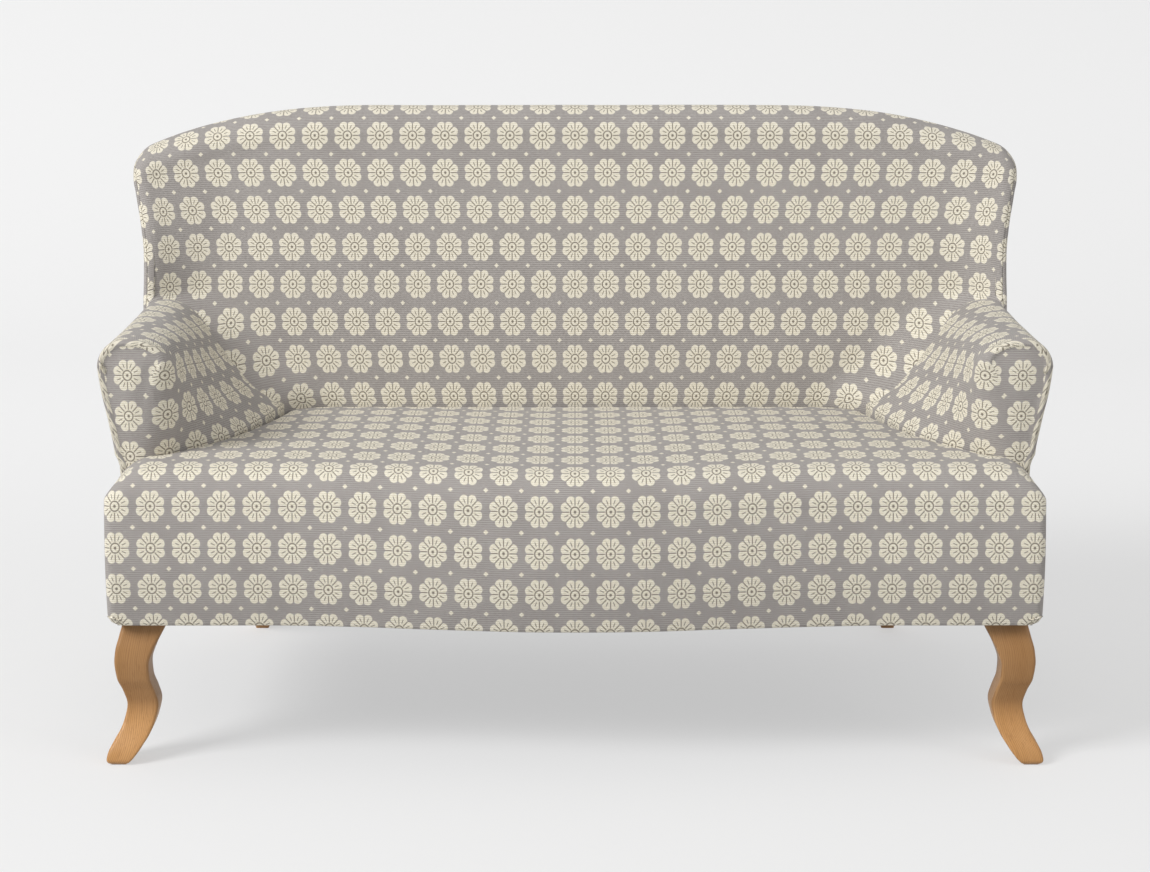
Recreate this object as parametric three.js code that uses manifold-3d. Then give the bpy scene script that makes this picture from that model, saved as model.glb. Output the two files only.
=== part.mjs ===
// A cabriole sofa: a beech frame on four legs, springs and webbing, foam, and a fitted fabric cover.
// Millimetres, Z up. X runs along the sofa, Y from its front to its back. The sofa faces -Y.

import * as THREE from 'three';
import { mergeVertices } from 'three/addons/utils/BufferGeometryUtils.js';
import Module from 'manifold-3d';

const wasm = await Module();
wasm.setup();

// Driving sizes of the whole sofa
const backWidth = 1484; // over the top corners of the back
const wingFlare = 27; // how far each wing stands out past the waist
const waistFlare = 21; // how far the waist, where the arms meet the back, stands out past the body
const rollSwell = 7; // how far the arm roll and the top of the body stand out past its foot
const bodyDepth = 700; // from the front rail line to the outside back, at the bottom
const backThickness = 135; // of the back, at the bottom
const legHeight = 217;
const seatBlockHeight = 238; // from the top of the legs to the seat's front crown
const armRise = 179; // from the seat to the top of the arm's front
const backRise = 298; // from the arm to the top of the back
const frontBow = 38; // how far the middle of the front stands out
const bowHalfWidth = 480;

const waistWidth = backWidth - 2 * wingFlare;
const bodyWidth = waistWidth - 2 * waistFlare;
const seatDepth = bodyDepth - backThickness;
const seatHeight = legHeight + seatBlockHeight;
const armHeight = seatHeight + armRise;
const totalHeight = armHeight + backRise;

// Cloth, padding and the gap left between neighbours
const clearance = 0.3;
const clothThickness = 2;
const liningThickness = 1;
const frontPadding = 10;
const armFoamThickness = 24;
const armFrontPadding = 14;
const backFoamThickness = 28;
const feltThickness = 4;
const feltMargin = 36;
const boardThickness = 4;
const seamAllowance = 6; // how far cloth and foam tuck in behind their neighbours

// Seat
const seatFall = 13; // how much lower the seat is at the back
const seatSideGrowth = 6; // how far the seat's front block stands out past the side panel
const seatCrown = 6;
const seatTuck = 55; // how far the seat runs in under the back
const seatRollRadius = 56;
const seatEndRadius = 68;
const seatEndDrop = 72; // from the seat down to the outside panel beside it
const frontFullness = 9;
const blockEdgeRadius = 14;
const blockReturn = 25; // how far the front cloth turns round the corner

// Arms
const armFrontY = 100;
const armFrontWidth = 74; // of the arm's front, at the seat
const armBackWidth = 216; // from the body's side to the arm's inside face, where it meets the back
const rollFrontWidth = 87; // from the body's side to the start of the roll, at the front
const rollBackWidth = 114;
const rollHeight = 44;
const rollCrestShare = 0.62; // where the crest lies across the roll, from the inside
const armFrontRounding = 9;
const armFullness = 7;
const armFall = 9; // how much lower the arm is where it meets the back
const armTuck = 90; // how far the arm's cloth runs down past the seat
const sideSeamDrop = 42; // from the top of the arm to its outside seam

// Back
const faceRakeShare = 0.21; // how far the inside back leans for each millimetre of height
const rearRakeShare = 0.086;
const topRollRadius = 52;
const cornerRadius = 30; // of the top corners and the wings' front edges
const crownDrop = 76; // how far the top falls from the middle to the corners
const crownFlatHalfWidth = 300;
const crownPower = 2.6;
const backFullness = 9; // how far the padding stands out at mid height
const wrapLow = 110; // how far the sides of the back come forward, at the seat
const wrapMiddle = 60;
const wrapHigh = 25;
const wrapPower = 2.5;
const wrapWidth = 130;
const wrapOverlap = 42; // how far the wrap runs in behind the arm, at the seat
const outsideSeamDrop = 56; // from the top of the back to its seam behind
const rearMargin = 20; // how far the back's padding reaches round behind

// Timber
const railThickness = 26;
const railHeight = 95;
const armRailWidth = 52;
const armRailShare = 1 / 3; // of the arm rail's width that lies inside the leg's centre line
const crestRailHeight = 62;
const tackRailHeight = 45;
const tackRailDrop = 70; // from the seat down to the rails that its cloth is tacked to
const blockLeg = 78; // leg length of a corner block
const blockHeight = 62;
const centreRailWidth = 45;
const centreRailHeight = 45;
const centrePostWidth = 50;
const backPostInset = 47; // from the waist to the back posts' outer face

// Legs and the bolts that hold them
const legTopWidth = 67;
const legTopRounding = 7;
const backLegTopWidth = 56;
const frontLegInset = 46.5; // from the body's side to the leg's centre
const frontLegY = 56;
const frontFootReach = 42;
const backLegInset = 138;
const backFootReach = 128;
const boltRadius = 5;
const boltLengthInLeg = 34;
const nutRadius = 9;
const nutHeight = 8;

// Springs and webbing
const springCount = 7;
const springWireRadius = 1.9;
const springWaves = 7;
const springWaveHalfWidth = 22;
const springCrown = 22;
const springSideMargin = 48; // from the end of the arm's face to the outer springs
const strapCount = 6;
const strapWidth = 60;
const strapThickness = 1.6;
const strapLap = 24; // how far a strap lies over each rail
const strapSideMargin = 98;

// Counts of facets
const backFaceSteps = 6;
const backRollSteps = 7;
const roundingSteps = 3;
const armFaceSteps = 4;
const armRollSteps = 8;
const seatRollSteps = 5;
const seatTopSteps = 5;
const seatStations = 16;
const seatPlanSteps = 14;
const bowSteps = 16;
const panelSteps = 8;
const panelRows = 8;
const stepsPerWave = 6;
const wireSides = 4;
const legCornerSteps = 2;
const boltSides = 10;
const nutSides = 6;

const armFrontHalfWidth = bodyWidth / 2 - armFrontWidth;
const armBackHalfWidth = bodyWidth / 2 - armBackWidth;
const armBottomZ = seatHeight - armTuck;
const sideSeamZ = armHeight - sideSeamDrop;
const seatSideZ = seatHeight - seatEndDrop;
const seatRear = seatDepth + seatTuck;
const seatBackHeight = seatHeight - seatFall;
const sideTop = totalHeight - crownDrop - cornerRadius / 2;
const tackRailTop = seatHeight - tackRailDrop;
const backPostSide = waistWidth / 2 - backPostInset;
const cutOverrun = backWidth / 2;

const beech = { color: 0xd9b98a, roughness: 0.7, metalness: 0 };
const oak = { color: 0xcf9a58, roughness: 0.45, metalness: 0 };
const steel = { color: 0x8d9196, roughness: 0.4, metalness: 0.9 };
const foam = { color: 0xe9dfb4, roughness: 0.95, metalness: 0 };
const cloth = { color: 0xa39e9b, roughness: 0.95, metalness: 0 };
const lining = { color: 0x24242a, roughness: 0.95, metalness: 0 };
const webbing = { color: 0x4a3b30, roughness: 0.9, metalness: 0 };
const hardboard = { color: 0x7b5a3c, roughness: 0.85, metalness: 0 };

const sofa = new THREE.Group();

function addPart(name, body, look) {
  const mesh = new THREE.Mesh(toGeometry(body), new THREE.MeshStandardMaterial(look));
  mesh.name = name;
  sofa.add(mesh);
  return mesh;
}

// A smooth value between the rows [at, value] of a table
function follow(table, at) {
  const last = table.length - 1;
  if (at <= table[0][0]) return table[0][1];
  if (at >= table[last][0]) return table[last][1];
  let i = 0;
  while (at > table[i + 1][0]) i++;
  const slope = (a, b) => (table[b][1] - table[a][1]) / (table[b][0] - table[a][0]);
  const tangent = (k) => {
    if (k === 0 || k === last) return 0;
    const before = slope(k - 1, k);
    const after = slope(k, k + 1);
    return before * after <= 0 ? 0 : (2 * before * after) / (before + after);
  };
  const span = table[i + 1][0] - table[i][0];
  const t = (at - table[i][0]) / span;
  const t2 = t * t;
  const t3 = t2 * t;
  return (2 * t3 - 3 * t2 + 1) * table[i][1] + (t3 - 2 * t2 + t) * span * tangent(i)
    + (3 * t2 - 2 * t3) * table[i + 1][1] + (t3 - t2) * span * tangent(i + 1);
}

function steps(count) {
  return Array.from({ length: count + 1 }, (_, i) => i / count);
}

function mix(a, b, t) {
  return a + (b - a) * t;
}

function smooth(t) {
  const k = THREE.MathUtils.clamp(t, 0, 1);
  return k * k * (3 - 2 * k);
}

// Closed bodies from rings of points, with flat ends, split alike on both sides of the middle ring
function loft(rings, flatten) {
  const count = rings[0].length;
  const positions = rings.flat().flatMap((p) => [p.x, p.y, p.z]);
  const index = [];
  for (let r = 0; r + 1 < rings.length; r++) {
    for (let i = 0; i < count; i++) {
      const j = (i + 1) % count;
      const a = r * count + i;
      const b = r * count + j;
      if (r < (rings.length - 1) / 2) index.push(a, b, b + count, a, b + count, a + count);
      else index.push(a, b, a + count, b, b + count, a + count);
    }
  }
  const end = (ring, start, flip) => {
    const outline = ring.map(flatten);
    for (const [a, b, c] of THREE.ShapeUtils.triangulateShape(outline, [])) {
      if (flip) index.push(start + c, start + b, start + a);
      else index.push(start + a, start + b, start + c);
    }
  };
  const clockwise = THREE.ShapeUtils.isClockWise(rings[0].map(flatten));
  end(rings[0], 0, !clockwise);
  end(rings[rings.length - 1], (rings.length - 1) * count, clockwise);
  return outward(positions, index);
}

function outward(positions, index) {
  const geometry = new THREE.BufferGeometry();
  geometry.setAttribute('position', new THREE.Float32BufferAttribute(positions, 3));
  geometry.setIndex(index);
  if (volume(geometry) < 0) {
    const turned = [];
    for (let i = 0; i < index.length; i += 3) turned.push(index[i], index[i + 2], index[i + 1]);
    geometry.setIndex(turned);
  }
  geometry.computeVertexNormals();
  return geometry;
}

function volume(geometry) {
  const p = geometry.attributes.position;
  const index = geometry.index.array;
  const [a, b, c] = [new THREE.Vector3(), new THREE.Vector3(), new THREE.Vector3()];
  let total = 0;
  for (let i = 0; i < index.length; i += 3) {
    a.fromBufferAttribute(p, index[i]);
    b.fromBufferAttribute(p, index[i + 1]);
    c.fromBufferAttribute(p, index[i + 2]);
    total += a.dot(b.cross(c));
  }
  return total;
}

function toSolid(geometry) {
  if (!geometry.isBufferGeometry) return geometry;
  const bare = new THREE.BufferGeometry();
  bare.setAttribute('position', geometry.attributes.position.clone());
  bare.setIndex(geometry.index ? geometry.index.clone() : null);
  const merged = mergeVertices(bare);
  const triVerts = new Uint32Array(merged.index.array);
  const vertProperties = new Float32Array(merged.attributes.position.array);
  return new wasm.Manifold(new wasm.Mesh({ numProp: 3, vertProperties, triVerts }));
}

function toGeometry(solid) {
  if (solid.isBufferGeometry) return solid;
  const mesh = solid.getMesh();
  return outward(Array.from(mesh.vertProperties), Array.from(mesh.triVerts));
}

function cut(body, ...tools) {
  return tools.reduce((solid, tool) => solid.subtract(toSolid(tool)), toSolid(body));
}

function join(body, other) {
  return toSolid(body).add(toSolid(other));
}

function keep(body, region) {
  return toSolid(body).intersect(toSolid(region));
}

function box(x0, x1, y0, y1, z0, z1) {
  const geometry = new THREE.BoxGeometry(x1 - x0, y1 - y0, z1 - z0);
  geometry.translate((x0 + x1) / 2, (y0 + y1) / 2, (z0 + z1) / 2);
  return geometry;
}

function mirrored(body) {
  if (!body.isBufferGeometry) return body.mirror([1, 0, 0]);
  const copy = body.clone().scale(-1, 1, 1);
  return outward(Array.from(copy.attributes.position.array), Array.from(copy.index.array));
}

// Points of a section moved inward, which is to the right of the way that the section runs
function inset(points, distance, closed) {
  const last = points.length - 1;
  return points.map((point, i) => {
    const before = points[closed ? (i + last) % (last + 1) : Math.max(i - 1, 0)];
    const after = points[closed ? (i + 1) % (last + 1) : Math.min(i + 1, last)];
    const along = after.clone().sub(before).normalize();
    return new THREE.Vector2(point.x + along.y * distance, point.y - along.x * distance);
  });
}

// A thin closed section between a line and the same line moved inward
function strip(points, near, far) {
  return [...inset(points, near, false), ...inset(points, far, false).reverse()];
}

// Rings moved inward square to their surface; the end rings stay in their own planes
function shrink(rings, distance, sense, flatAxis) {
  return rings.map((ring, r) => ring.map((point, i) => {
    const along = ring[(i + 1) % ring.length].clone().sub(ring[(i + ring.length - 1) % ring.length]);
    const across = rings[Math.min(r + 1, rings.length - 1)][i].clone().sub(rings[Math.max(r - 1, 0)][i]);
    const normal = along.cross(across);
    if (r === 0 || r === rings.length - 1) normal.projectOnPlane(flatAxis);
    return point.clone().addScaledVector(normal.normalize(), sense * distance);
  }));
}

// Outline of the sofa seen from the front
const sideShares = [[0, 0], [0.9, 0.09], [1, 0.12]];
const flareShares = [[0, 0], [0.28, 0.3], [0.6, 0.75], [1, 1]];
const wingShares = [[0, 0], [0.3, 0.07], [0.5, 0.26], [0.72, 0.6], [0.9, 0.88], [1, 1]];

function sideX(z) {
  const body = bodyWidth / 2;
  const waist = waistWidth / 2;
  const back = backWidth / 2;
  if (z <= seatHeight) {
    return mix(body - rollSwell, body, follow(sideShares, (z - legHeight) / seatBlockHeight));
  }
  if (z <= armHeight) return mix(body, waist, follow(flareShares, (z - seatHeight) / armRise));
  return mix(waist, back, follow(wingShares, (z - armHeight) / (sideTop - armHeight)));
}

function topZ(x) {
  const t = Math.max(Math.abs(x) - crownFlatHalfWidth, 0) / (backWidth / 2 - crownFlatHalfWidth);
  return totalHeight - crownDrop * Math.min(t, 1) ** crownPower;
}

// How far the front edge is drawn forward by its bow, fading towards the back
function bowed(x, y) {
  const bell = (1 + Math.cos(Math.PI * Math.min(Math.abs(x) / bowHalfWidth, 1))) / 2;
  return y - frontBow * bell * (1 - smooth(y / (seatDepth / 2)));
}

// Inside face of the back
function backFaceY(x, z) {
  const rise = Math.max(z - seatHeight, 0);
  const upper = THREE.MathUtils.clamp((z - armHeight) / (sideTop - armHeight), 0, 1);
  const lower = THREE.MathUtils.clamp(rise / (armHeight - seatHeight), 0, 1);
  const reach = z < armHeight ? mix(wrapLow, wrapMiddle, lower) : mix(wrapMiddle, wrapHigh, upper);
  const halfWidth = z < armHeight ? mix(armBackHalfWidth + wrapOverlap, waistWidth / 2, lower) : sideX(z);
  const t = THREE.MathUtils.clamp((Math.abs(x) - halfWidth + wrapWidth) / wrapWidth, 0, 1);
  const full = backFullness * Math.sin(Math.PI * Math.min(rise / (sideTop - seatHeight), 1));
  return seatDepth + faceRakeShare * rise - reach * t ** wrapPower - full;
}

function rearY(z) {
  return bodyDepth + rearRakeShare * (z - legHeight);
}

// Section of the back in the plane of Y and Z, from its foot over the top and down behind
function backSection(share, shift) {
  const spread = (z) => share * (sideX(Math.min(z, sideTop)) - shift);
  const crest = topZ(spread(sideTop));
  const shoulder = crest - topRollRadius;
  const points = [new THREE.Vector2(backFaceY(spread(legHeight), legHeight), legHeight)];
  for (const t of steps(backFaceSteps)) {
    const z = mix(seatHeight, shoulder, t);
    points.push(new THREE.Vector2(backFaceY(spread(z), z), z));
  }
  const front = points[backFaceSteps + 1].x;
  const depth = rearY(shoulder) - front;
  for (const t of steps(backRollSteps).slice(1)) {
    const angle = Math.PI * t;
    const y = front + (1 - Math.cos(angle)) * depth / 2;
    points.push(new THREE.Vector2(y, shoulder + Math.sin(angle) * topRollRadius));
  }
  points.push(new THREE.Vector2(rearY(legHeight), legHeight));
  return { points, spread };
}

// Stations along the back, closer where it wraps, then the rounding of each end
const backShares = [0, 0.2, 0.38, 0.53, 0.64, 0.73, 0.82, 0.91, 1];

function backStationList(overrun, square) {
  const flat = backShares.map((share) => ({ share, sink: 0, shift: cornerRadius }));
  const round = steps(roundingSteps).slice(1).map((t) => {
    const angle = t * Math.PI / 2;
    const sink = cornerRadius * (1 - Math.cos(angle));
    return { share: 1, sink, shift: cornerRadius * (1 - Math.sin(angle)) };
  });
  const end = { share: 1, sink: square ? 0 : cornerRadius, shift: -overrun };
  const half = [...flat, ...(square ? [] : round), ...(overrun ? [end] : [])];
  const otherHalf = half.slice(1).map((s) => ({ ...s, share: -s.share })).reverse();
  return [...otherHalf, ...half];
}

// The space that the back fills, drawn in by near; overrun takes its ends past the sides
function backForm(near, overrun = 0, square = false) {
  const rings = backStationList(overrun, square).map(({ share, sink, shift }) => {
    const { points, spread } = backSection(share, shift);
    return inset(points, sink, true).map((p) => new THREE.Vector3(spread(p.y), p.x, p.y));
  });
  return loft(shrink(rings, near, 1, new THREE.Vector3(1, 0, 0)), (p) => new THREE.Vector2(p.y, p.z));
}

// Half plan of the arm's inside face at seat height, from its front to the back
const armLineShares = [
  [0, 0], [0.07, 0.1], [0.16, 0.29], [0.25, 0.42], [0.44, 0.62], [0.66, 0.83], [1, 1], [1.4, 1.04],
];

function armInsideX(y) {
  const t = (y - armFrontY) / (seatDepth - armFrontY);
  return mix(armFrontHalfWidth, armBackHalfWidth, follow(armLineShares, t));
}

function armTop(y) {
  return armHeight - armFall * armDepthShare(y);
}

function armDepthShare(y) {
  return THREE.MathUtils.clamp((y - armFrontY) / (seatDepth - armFrontY), 0, 1);
}

// Outside face of the arm
function armSideX(y, z) {
  const rise = THREE.MathUtils.clamp((z - armBottomZ) / (sideSeamZ - armBottomZ), 0, 1);
  return sideX(z) + rollSwell * (1 - armDepthShare(y)) * rise;
}

// Section of the right arm in the plane of X and Z, from its inside bottom over the roll
function armSection(y) {
  const t = armDepthShare(y);
  const shoulder = armTop(y) - rollHeight;
  const start = bodyWidth / 2 - mix(rollFrontWidth, rollBackWidth, t);
  const foot = armInsideX(y);
  const outer = armSideX(y, shoulder);
  const points = [new THREE.Vector2(foot, legHeight)];
  for (const k of steps(armFaceSteps)) {
    const z = mix(seatHeight, shoulder, k);
    points.push(new THREE.Vector2(mix(foot, start, k) - armFullness * Math.sin(Math.PI * k), z));
  }
  const middle = mix(start, outer, rollCrestShare);
  for (const k of steps(armRollSteps).slice(1)) {
    const angle = Math.PI * k;
    const radius = angle < Math.PI / 2 ? middle - start : outer - middle;
    const across = middle - Math.cos(angle) * radius;
    points.push(new THREE.Vector2(across, shoulder + Math.sin(angle) * rollHeight));
  }
  for (const z of [(shoulder + armBottomZ) / 2, armBottomZ, legHeight]) {
    points.push(new THREE.Vector2(armSideX(y, z), z));
  }
  return points;
}

const armStationShares = [0.03, 0.08, 0.15, 0.24, 0.38, 0.55, 0.7, 0.82, 0.92, 1.02, 1.3];

// The space that the right arm fills, drawn in by near, and by nearFront at its front
function armForm(near, nearFront, rounding = armFrontRounding) {
  const front = armFrontY + nearFront;
  const rounded = steps(roundingSteps).map((t) => {
    const angle = t * Math.PI / 2;
    return [front + rounding * (1 - Math.sin(angle)), rounding * (1 - Math.cos(angle))];
  }).reverse();
  const stations = armStationShares.map((t) => [mix(armFrontY, seatDepth, t), 0]);
  const even = stations.filter(([y]) => y > front + rounding);
  const rings = [...(rounding ? rounded : [[front, 0]]), ...even].map(([y, sink]) => (
    inset(armSection(y), sink, true).map((p) => new THREE.Vector3(p.x, y, p.y))
  ));
  return loft(shrink(rings, near, -1, new THREE.Vector3(0, 1, 0)), (p) => new THREE.Vector2(p.x, p.z));
}

// Upright boards with an outline in X and Z, or in Y and Z, and flat ones with an outline in X and Y
function boardAcross(points, y0, y1) {
  const shape = new THREE.Shape(points.map(([x, z]) => new THREE.Vector2(x, z)));
  const geometry = new THREE.ExtrudeGeometry(shape, { depth: y1 - y0, bevelEnabled: false });
  geometry.rotateX(Math.PI / 2).translate(0, y1, 0);
  return welded(geometry);
}

function boardAlong(points, x0, x1) {
  const shape = new THREE.Shape(points.map(([y, z]) => new THREE.Vector2(y, z)));
  const geometry = new THREE.ExtrudeGeometry(shape, { depth: x1 - x0, bevelEnabled: false });
  const turn = new THREE.Matrix4().makeBasis(
    new THREE.Vector3(0, 1, 0), new THREE.Vector3(0, 0, 1), new THREE.Vector3(1, 0, 0),
  );
  geometry.applyMatrix4(turn).translate(x0, 0, 0);
  return welded(geometry);
}

function boardFlat(points, z0, z1) {
  const shape = new THREE.Shape(points.map(([x, y]) => new THREE.Vector2(x, y)));
  const geometry = new THREE.ExtrudeGeometry(shape, { depth: z1 - z0, bevelEnabled: false });
  geometry.translate(0, 0, z0);
  return welded(geometry);
}

function welded(geometry) {
  geometry.deleteAttribute('normal');
  geometry.deleteAttribute('uv');
  const merged = mergeVertices(geometry);
  return outward(Array.from(merged.attributes.position.array), Array.from(merged.index.array));
}

function addPair(name, body, look) {
  addPart(`${name}_right`, body, look);
  addPart(`${name}_left`, mirrored(body), look);
}

// Depths below the outer face of the cloth
const foamNear = clothThickness + clearance;
const armFoamFar = foamNear + armFoamThickness;
const armFoamFront = foamNear + armFrontPadding;
const backFoamFar = foamNear + backFoamThickness;
const strapFar = backFoamFar + clearance + strapThickness;
const timberBack = strapFar + clearance;
const timberArm = armFoamFar + clearance;
const timberArmFront = armFoamFront + clearance;

const frontPostY = armFrontY + timberArmFront + clearance;

// Base frame
const railBottom = legHeight + liningThickness + clearance;
const railTop = railBottom + railHeight;
const frameSide = bodyWidth / 2 - rollSwell - foamNear;
const frameFront = foamNear + frontPadding + clearance;
const frameRear = rearY(legHeight) - foamNear;
const sideRailInside = frameSide - railThickness;
const backRailFront = frameRear - railThickness;

function frontRail(gap) {
  const xs = steps(bowSteps).map((t) => mix(-frameSide, frameSide, t));
  const front = xs.map((x) => [x, bowed(x, frameFront) - gap]);
  const rear = xs.map((x) => [x, bowed(x, frameFront) + railThickness + gap]).reverse();
  return boardFlat([...front, ...rear], railBottom - gap, railTop + gap);
}

const sideRailFront = frameFront + railThickness + clearance;
addPart('front_rail', frontRail(0), beech);
addPart('back_rail', box(-frameSide, frameSide, backRailFront, frameRear, railBottom, railTop), beech);
const sideRail = box(
  sideRailInside, frameSide, sideRailFront, backRailFront - clearance, railBottom, railTop,
);
addPair('side_rail', sideRail, beech);
const centreRailTop = railBottom + centreRailHeight;
const centreRail = box(
  -centreRailWidth / 2, centreRailWidth / 2, 0, backRailFront - clearance, railBottom, centreRailTop,
);
addPart('centre_rail', cut(centreRail, frontRail(clearance)), beech);

// Blocks that carry the legs, with the bolts through them
const blockTop = railBottom + blockHeight;
const frontLegX = bodyWidth / 2 - frontLegInset;
const backLegX = bodyWidth / 2 - backLegInset;
const backLegY = backRailFront - clearance - backLegTopWidth / 2;

function boltHole(x, y) {
  const hole = new THREE.CylinderGeometry(
    boltRadius + clearance, boltRadius + clearance, cutOverrun + blockHeight + boltLengthInLeg, boltSides,
  );
  hole.rotateX(Math.PI / 2);
  const bottom = legTop - boltLengthInLeg - clearance;
  return hole.translate(x, y, bottom + (cutOverrun + blockHeight + boltLengthInLeg) / 2);
}

const legTop = railBottom - clearance;
const frontBlock = boardFlat([
  [sideRailInside - clearance, sideRailFront],
  [sideRailInside - clearance, sideRailFront + blockLeg],
  [sideRailInside - clearance - blockLeg / 2, sideRailFront + blockLeg],
  [sideRailInside - clearance - blockLeg, sideRailFront + blockLeg / 2],
  [sideRailInside - clearance - blockLeg, sideRailFront],
], railBottom, blockTop);
addPair('corner_block_front', cut(frontBlock, boltHole(frontLegX, frontLegY)), beech);
const backBlock = box(
  backLegX - blockLeg / 2, backLegX + blockLeg / 2,
  backRailFront - clearance - blockLeg, backRailFront - clearance, railBottom, blockTop,
);
addPair('leg_block_back', cut(backBlock, boltHole(backLegX, backLegY)), beech);

function bolt(x, y) {
  const bottom = legTop - boltLengthInLeg;
  const top = blockTop + nutHeight;
  const shank = new THREE.CylinderGeometry(boltRadius, boltRadius, top - bottom, boltSides);
  shank.rotateX(Math.PI / 2).translate(x, y, (bottom + top) / 2);
  const nut = new THREE.CylinderGeometry(nutRadius, nutRadius, nutHeight - clearance, nutSides);
  nut.rotateX(Math.PI / 2).translate(x, y, blockTop + clearance + (nutHeight - clearance) / 2);
  return toSolid(shank).add(toSolid(nut));
}

addPair('leg_bolt_front', bolt(frontLegX, frontLegY), steel);
addPair('leg_bolt_back', bolt(backLegX, backLegY), steel);

// Legs: a rounded square carried along a bent line, [height share, offset share, width share]
const frontLegShares = [
  [1, 0, 1], [0.9, 0.17, 0.93], [0.8, 0.37, 0.85], [0.7, 0.47, 0.77], [0.6, 0.43, 0.74],
  [0.5, 0.27, 0.71], [0.4, 0.16, 0.705], [0.3, 0.26, 0.705], [0.2, 0.47, 0.71], [0.12, 0.73, 0.7],
  [0.05, 0.93, 0.61], [0.015, 1, 0.48], [0, 1, 0.34],
];
const backLegShares = [
  [1, 0, 1], [0.8, 0.04, 0.93], [0.6, 0.16, 0.82], [0.4, 0.38, 0.7], [0.2, 0.68, 0.58],
  [0.04, 0.96, 0.48], [0, 1, 0.4],
];

function roundedSquare(width, rounding) {
  const inner = width / 2 - rounding;
  const points = [];
  for (const quarter of [0, 1, 2, 3]) {
    for (const t of steps(legCornerSteps)) {
      const angle = (quarter + t) * Math.PI / 2;
      const cx = inner * (quarter === 0 || quarter === 3 ? 1 : -1);
      const cy = inner * (quarter < 2 ? 1 : -1);
      points.push(new THREE.Vector2(cx + Math.cos(angle) * rounding, cy + Math.sin(angle) * rounding));
    }
  }
  return points;
}

function leg(table, x, y, width, reachX, reachY) {
  const rings = table.map(([height, offset, size]) => (
    roundedSquare(width * size, legTopRounding * size).map((p) => new THREE.Vector3(
      x + reachX * offset + p.x, y + reachY * offset + p.y, legTop * height,
    ))
  ));
  return loft(rings, (p) => new THREE.Vector2(p.x, p.y));
}

const frontLeg = leg(frontLegShares, frontLegX, frontLegY, legTopWidth, frontFootReach, -frontFootReach);
addPair('front_leg', cut(frontLeg, boltHole(frontLegX, frontLegY)), oak);
const backLeg = leg(backLegShares, backLegX, backLegY, backLegTopWidth, 0, backFootReach);
addPair('back_leg', cut(backLeg, boltHole(backLegX, backLegY)), oak);

// Arm frames
const postTop = armHeight - rollHeight - railThickness;
const rearPostY = seatDepth - wrapLow - backFullness - railThickness - clearance;
const armCore = toSolid(armForm(timberArm, timberArmFront, 0));
const behindBoard = armForm(timberArm + boardThickness + clearance, timberArmFront, 0);

function armPost(core, y) {
  const slab = box(0, backWidth, y, y + railThickness, railTop + clearance, postTop);
  const outer = box(frontLegX, frameSide, y, y + railThickness, railTop + clearance, postTop);
  return join(keep(core, slab), outer);
}

const outsideCut = boardAcross([
  [frontLegX, sideSeamZ], [frontLegX, legHeight], [backWidth, legHeight], [backWidth, sideSeamZ],
], armFrontY + armFrontRounding, bodyDepth + cutOverrun);
const underCut = box(
  -backWidth, backWidth, -cutOverrun, bodyDepth + cutOverrun, -cutOverrun, armBottomZ + seamAllowance,
);
const backSpace = backForm(-clearance);
const armRailInside = frontLegX - armRailWidth * armRailShare;
const armRailBand = box(
  armRailInside, armRailInside + armRailWidth, frontPostY, bodyDepth, postTop + clearance, totalHeight,
);
addPair('arm_front_post', armPost(armCore, frontPostY), beech);
addPair('arm_rear_post', armPost(behindBoard, rearPostY), beech);
addPair('arm_top_rail', cut(keep(armCore, armRailBand), backSpace), beech);

// The rail and the board that follow the inside of the arm
const tackFoot = tackRailTop - tackRailHeight;
const backTackFront = seatDepth + timberBack;
const armBoardFront = frontPostY + railThickness + clearance;
const tackBand = box(0, frontLegX, armBoardFront, rearPostY - clearance, tackFoot, tackRailTop);
addPair('arm_tack_rail', keep(cut(armCore, armCore.translate(railThickness, 0, 0)), tackBand), beech);
const boardBand = box(0, armRailInside, armBoardFront, bodyDepth, tackRailTop + clearance, postTop);
const board = keep(cut(armCore, armCore.translate(boardThickness, 0, 0)), boardBand);
addPair('arm_board', cut(board, backSpace), hardboard);

// Back frame
const backCore = toSolid(backForm(timberBack, cutOverrun, true));
const crestFoot = (x) => topZ(x) - timberBack - crestRailHeight;
const crestBand = (() => {
  const xs = steps(bowSteps).map((t) => mix(-backPostSide, backPostSide, t));
  const lower = [...xs].reverse().map((x) => [x, crestFoot(x)]);
  return boardAcross([...xs.map((x) => [x, totalHeight]), ...lower], 0, bodyDepth + cutOverrun);
})();
const underCrest = boardAcross([
  ...steps(bowSteps).map((t) => mix(-backWidth, backWidth, t)).map((x) => [x, crestFoot(x) - clearance]),
  [backWidth, railTop + clearance], [-backWidth, railTop + clearance],
], 0, bodyDepth + cutOverrun);
const wingBand = box(backPostSide - railThickness, backPostSide, 0, frameRear, 0, totalHeight);
const wingFront = box(0, backWidth, 0, rearPostY + railThickness + clearance, 0, armHeight);
addPair('back_post', cut(keep(keep(backCore, underCrest), wingBand), wingFront), beech);
const centreBand = box(
  -centrePostWidth / 2, centrePostWidth / 2, 0, bodyDepth, tackRailTop + clearance, totalHeight,
);
const facing = cut(backCore, backCore.translate(0, railThickness, 0));
addPart('back_centre_post', keep(keep(facing, underCrest), centreBand), beech);
addPart('crest_rail', keep(backCore, crestBand), beech);
const backTackSide = backPostSide - railThickness - clearance;
addPart('back_tack_rail', box(
  -backTackSide, backTackSide, backTackFront, backTackFront + railThickness, tackFoot, tackRailTop,
), beech);

// Springs: a wire waved from side to side along its run, and arched over it
const springFront = railThickness / 2 + frameFront;
const springRear = backRailFront + railThickness / 2;
const springAxis = railTop + clearance + springWireRadius;
const springTop = springAxis + springCrown + springWireRadius;
const outerSpringX = armBackHalfWidth - springSideMargin;

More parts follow.
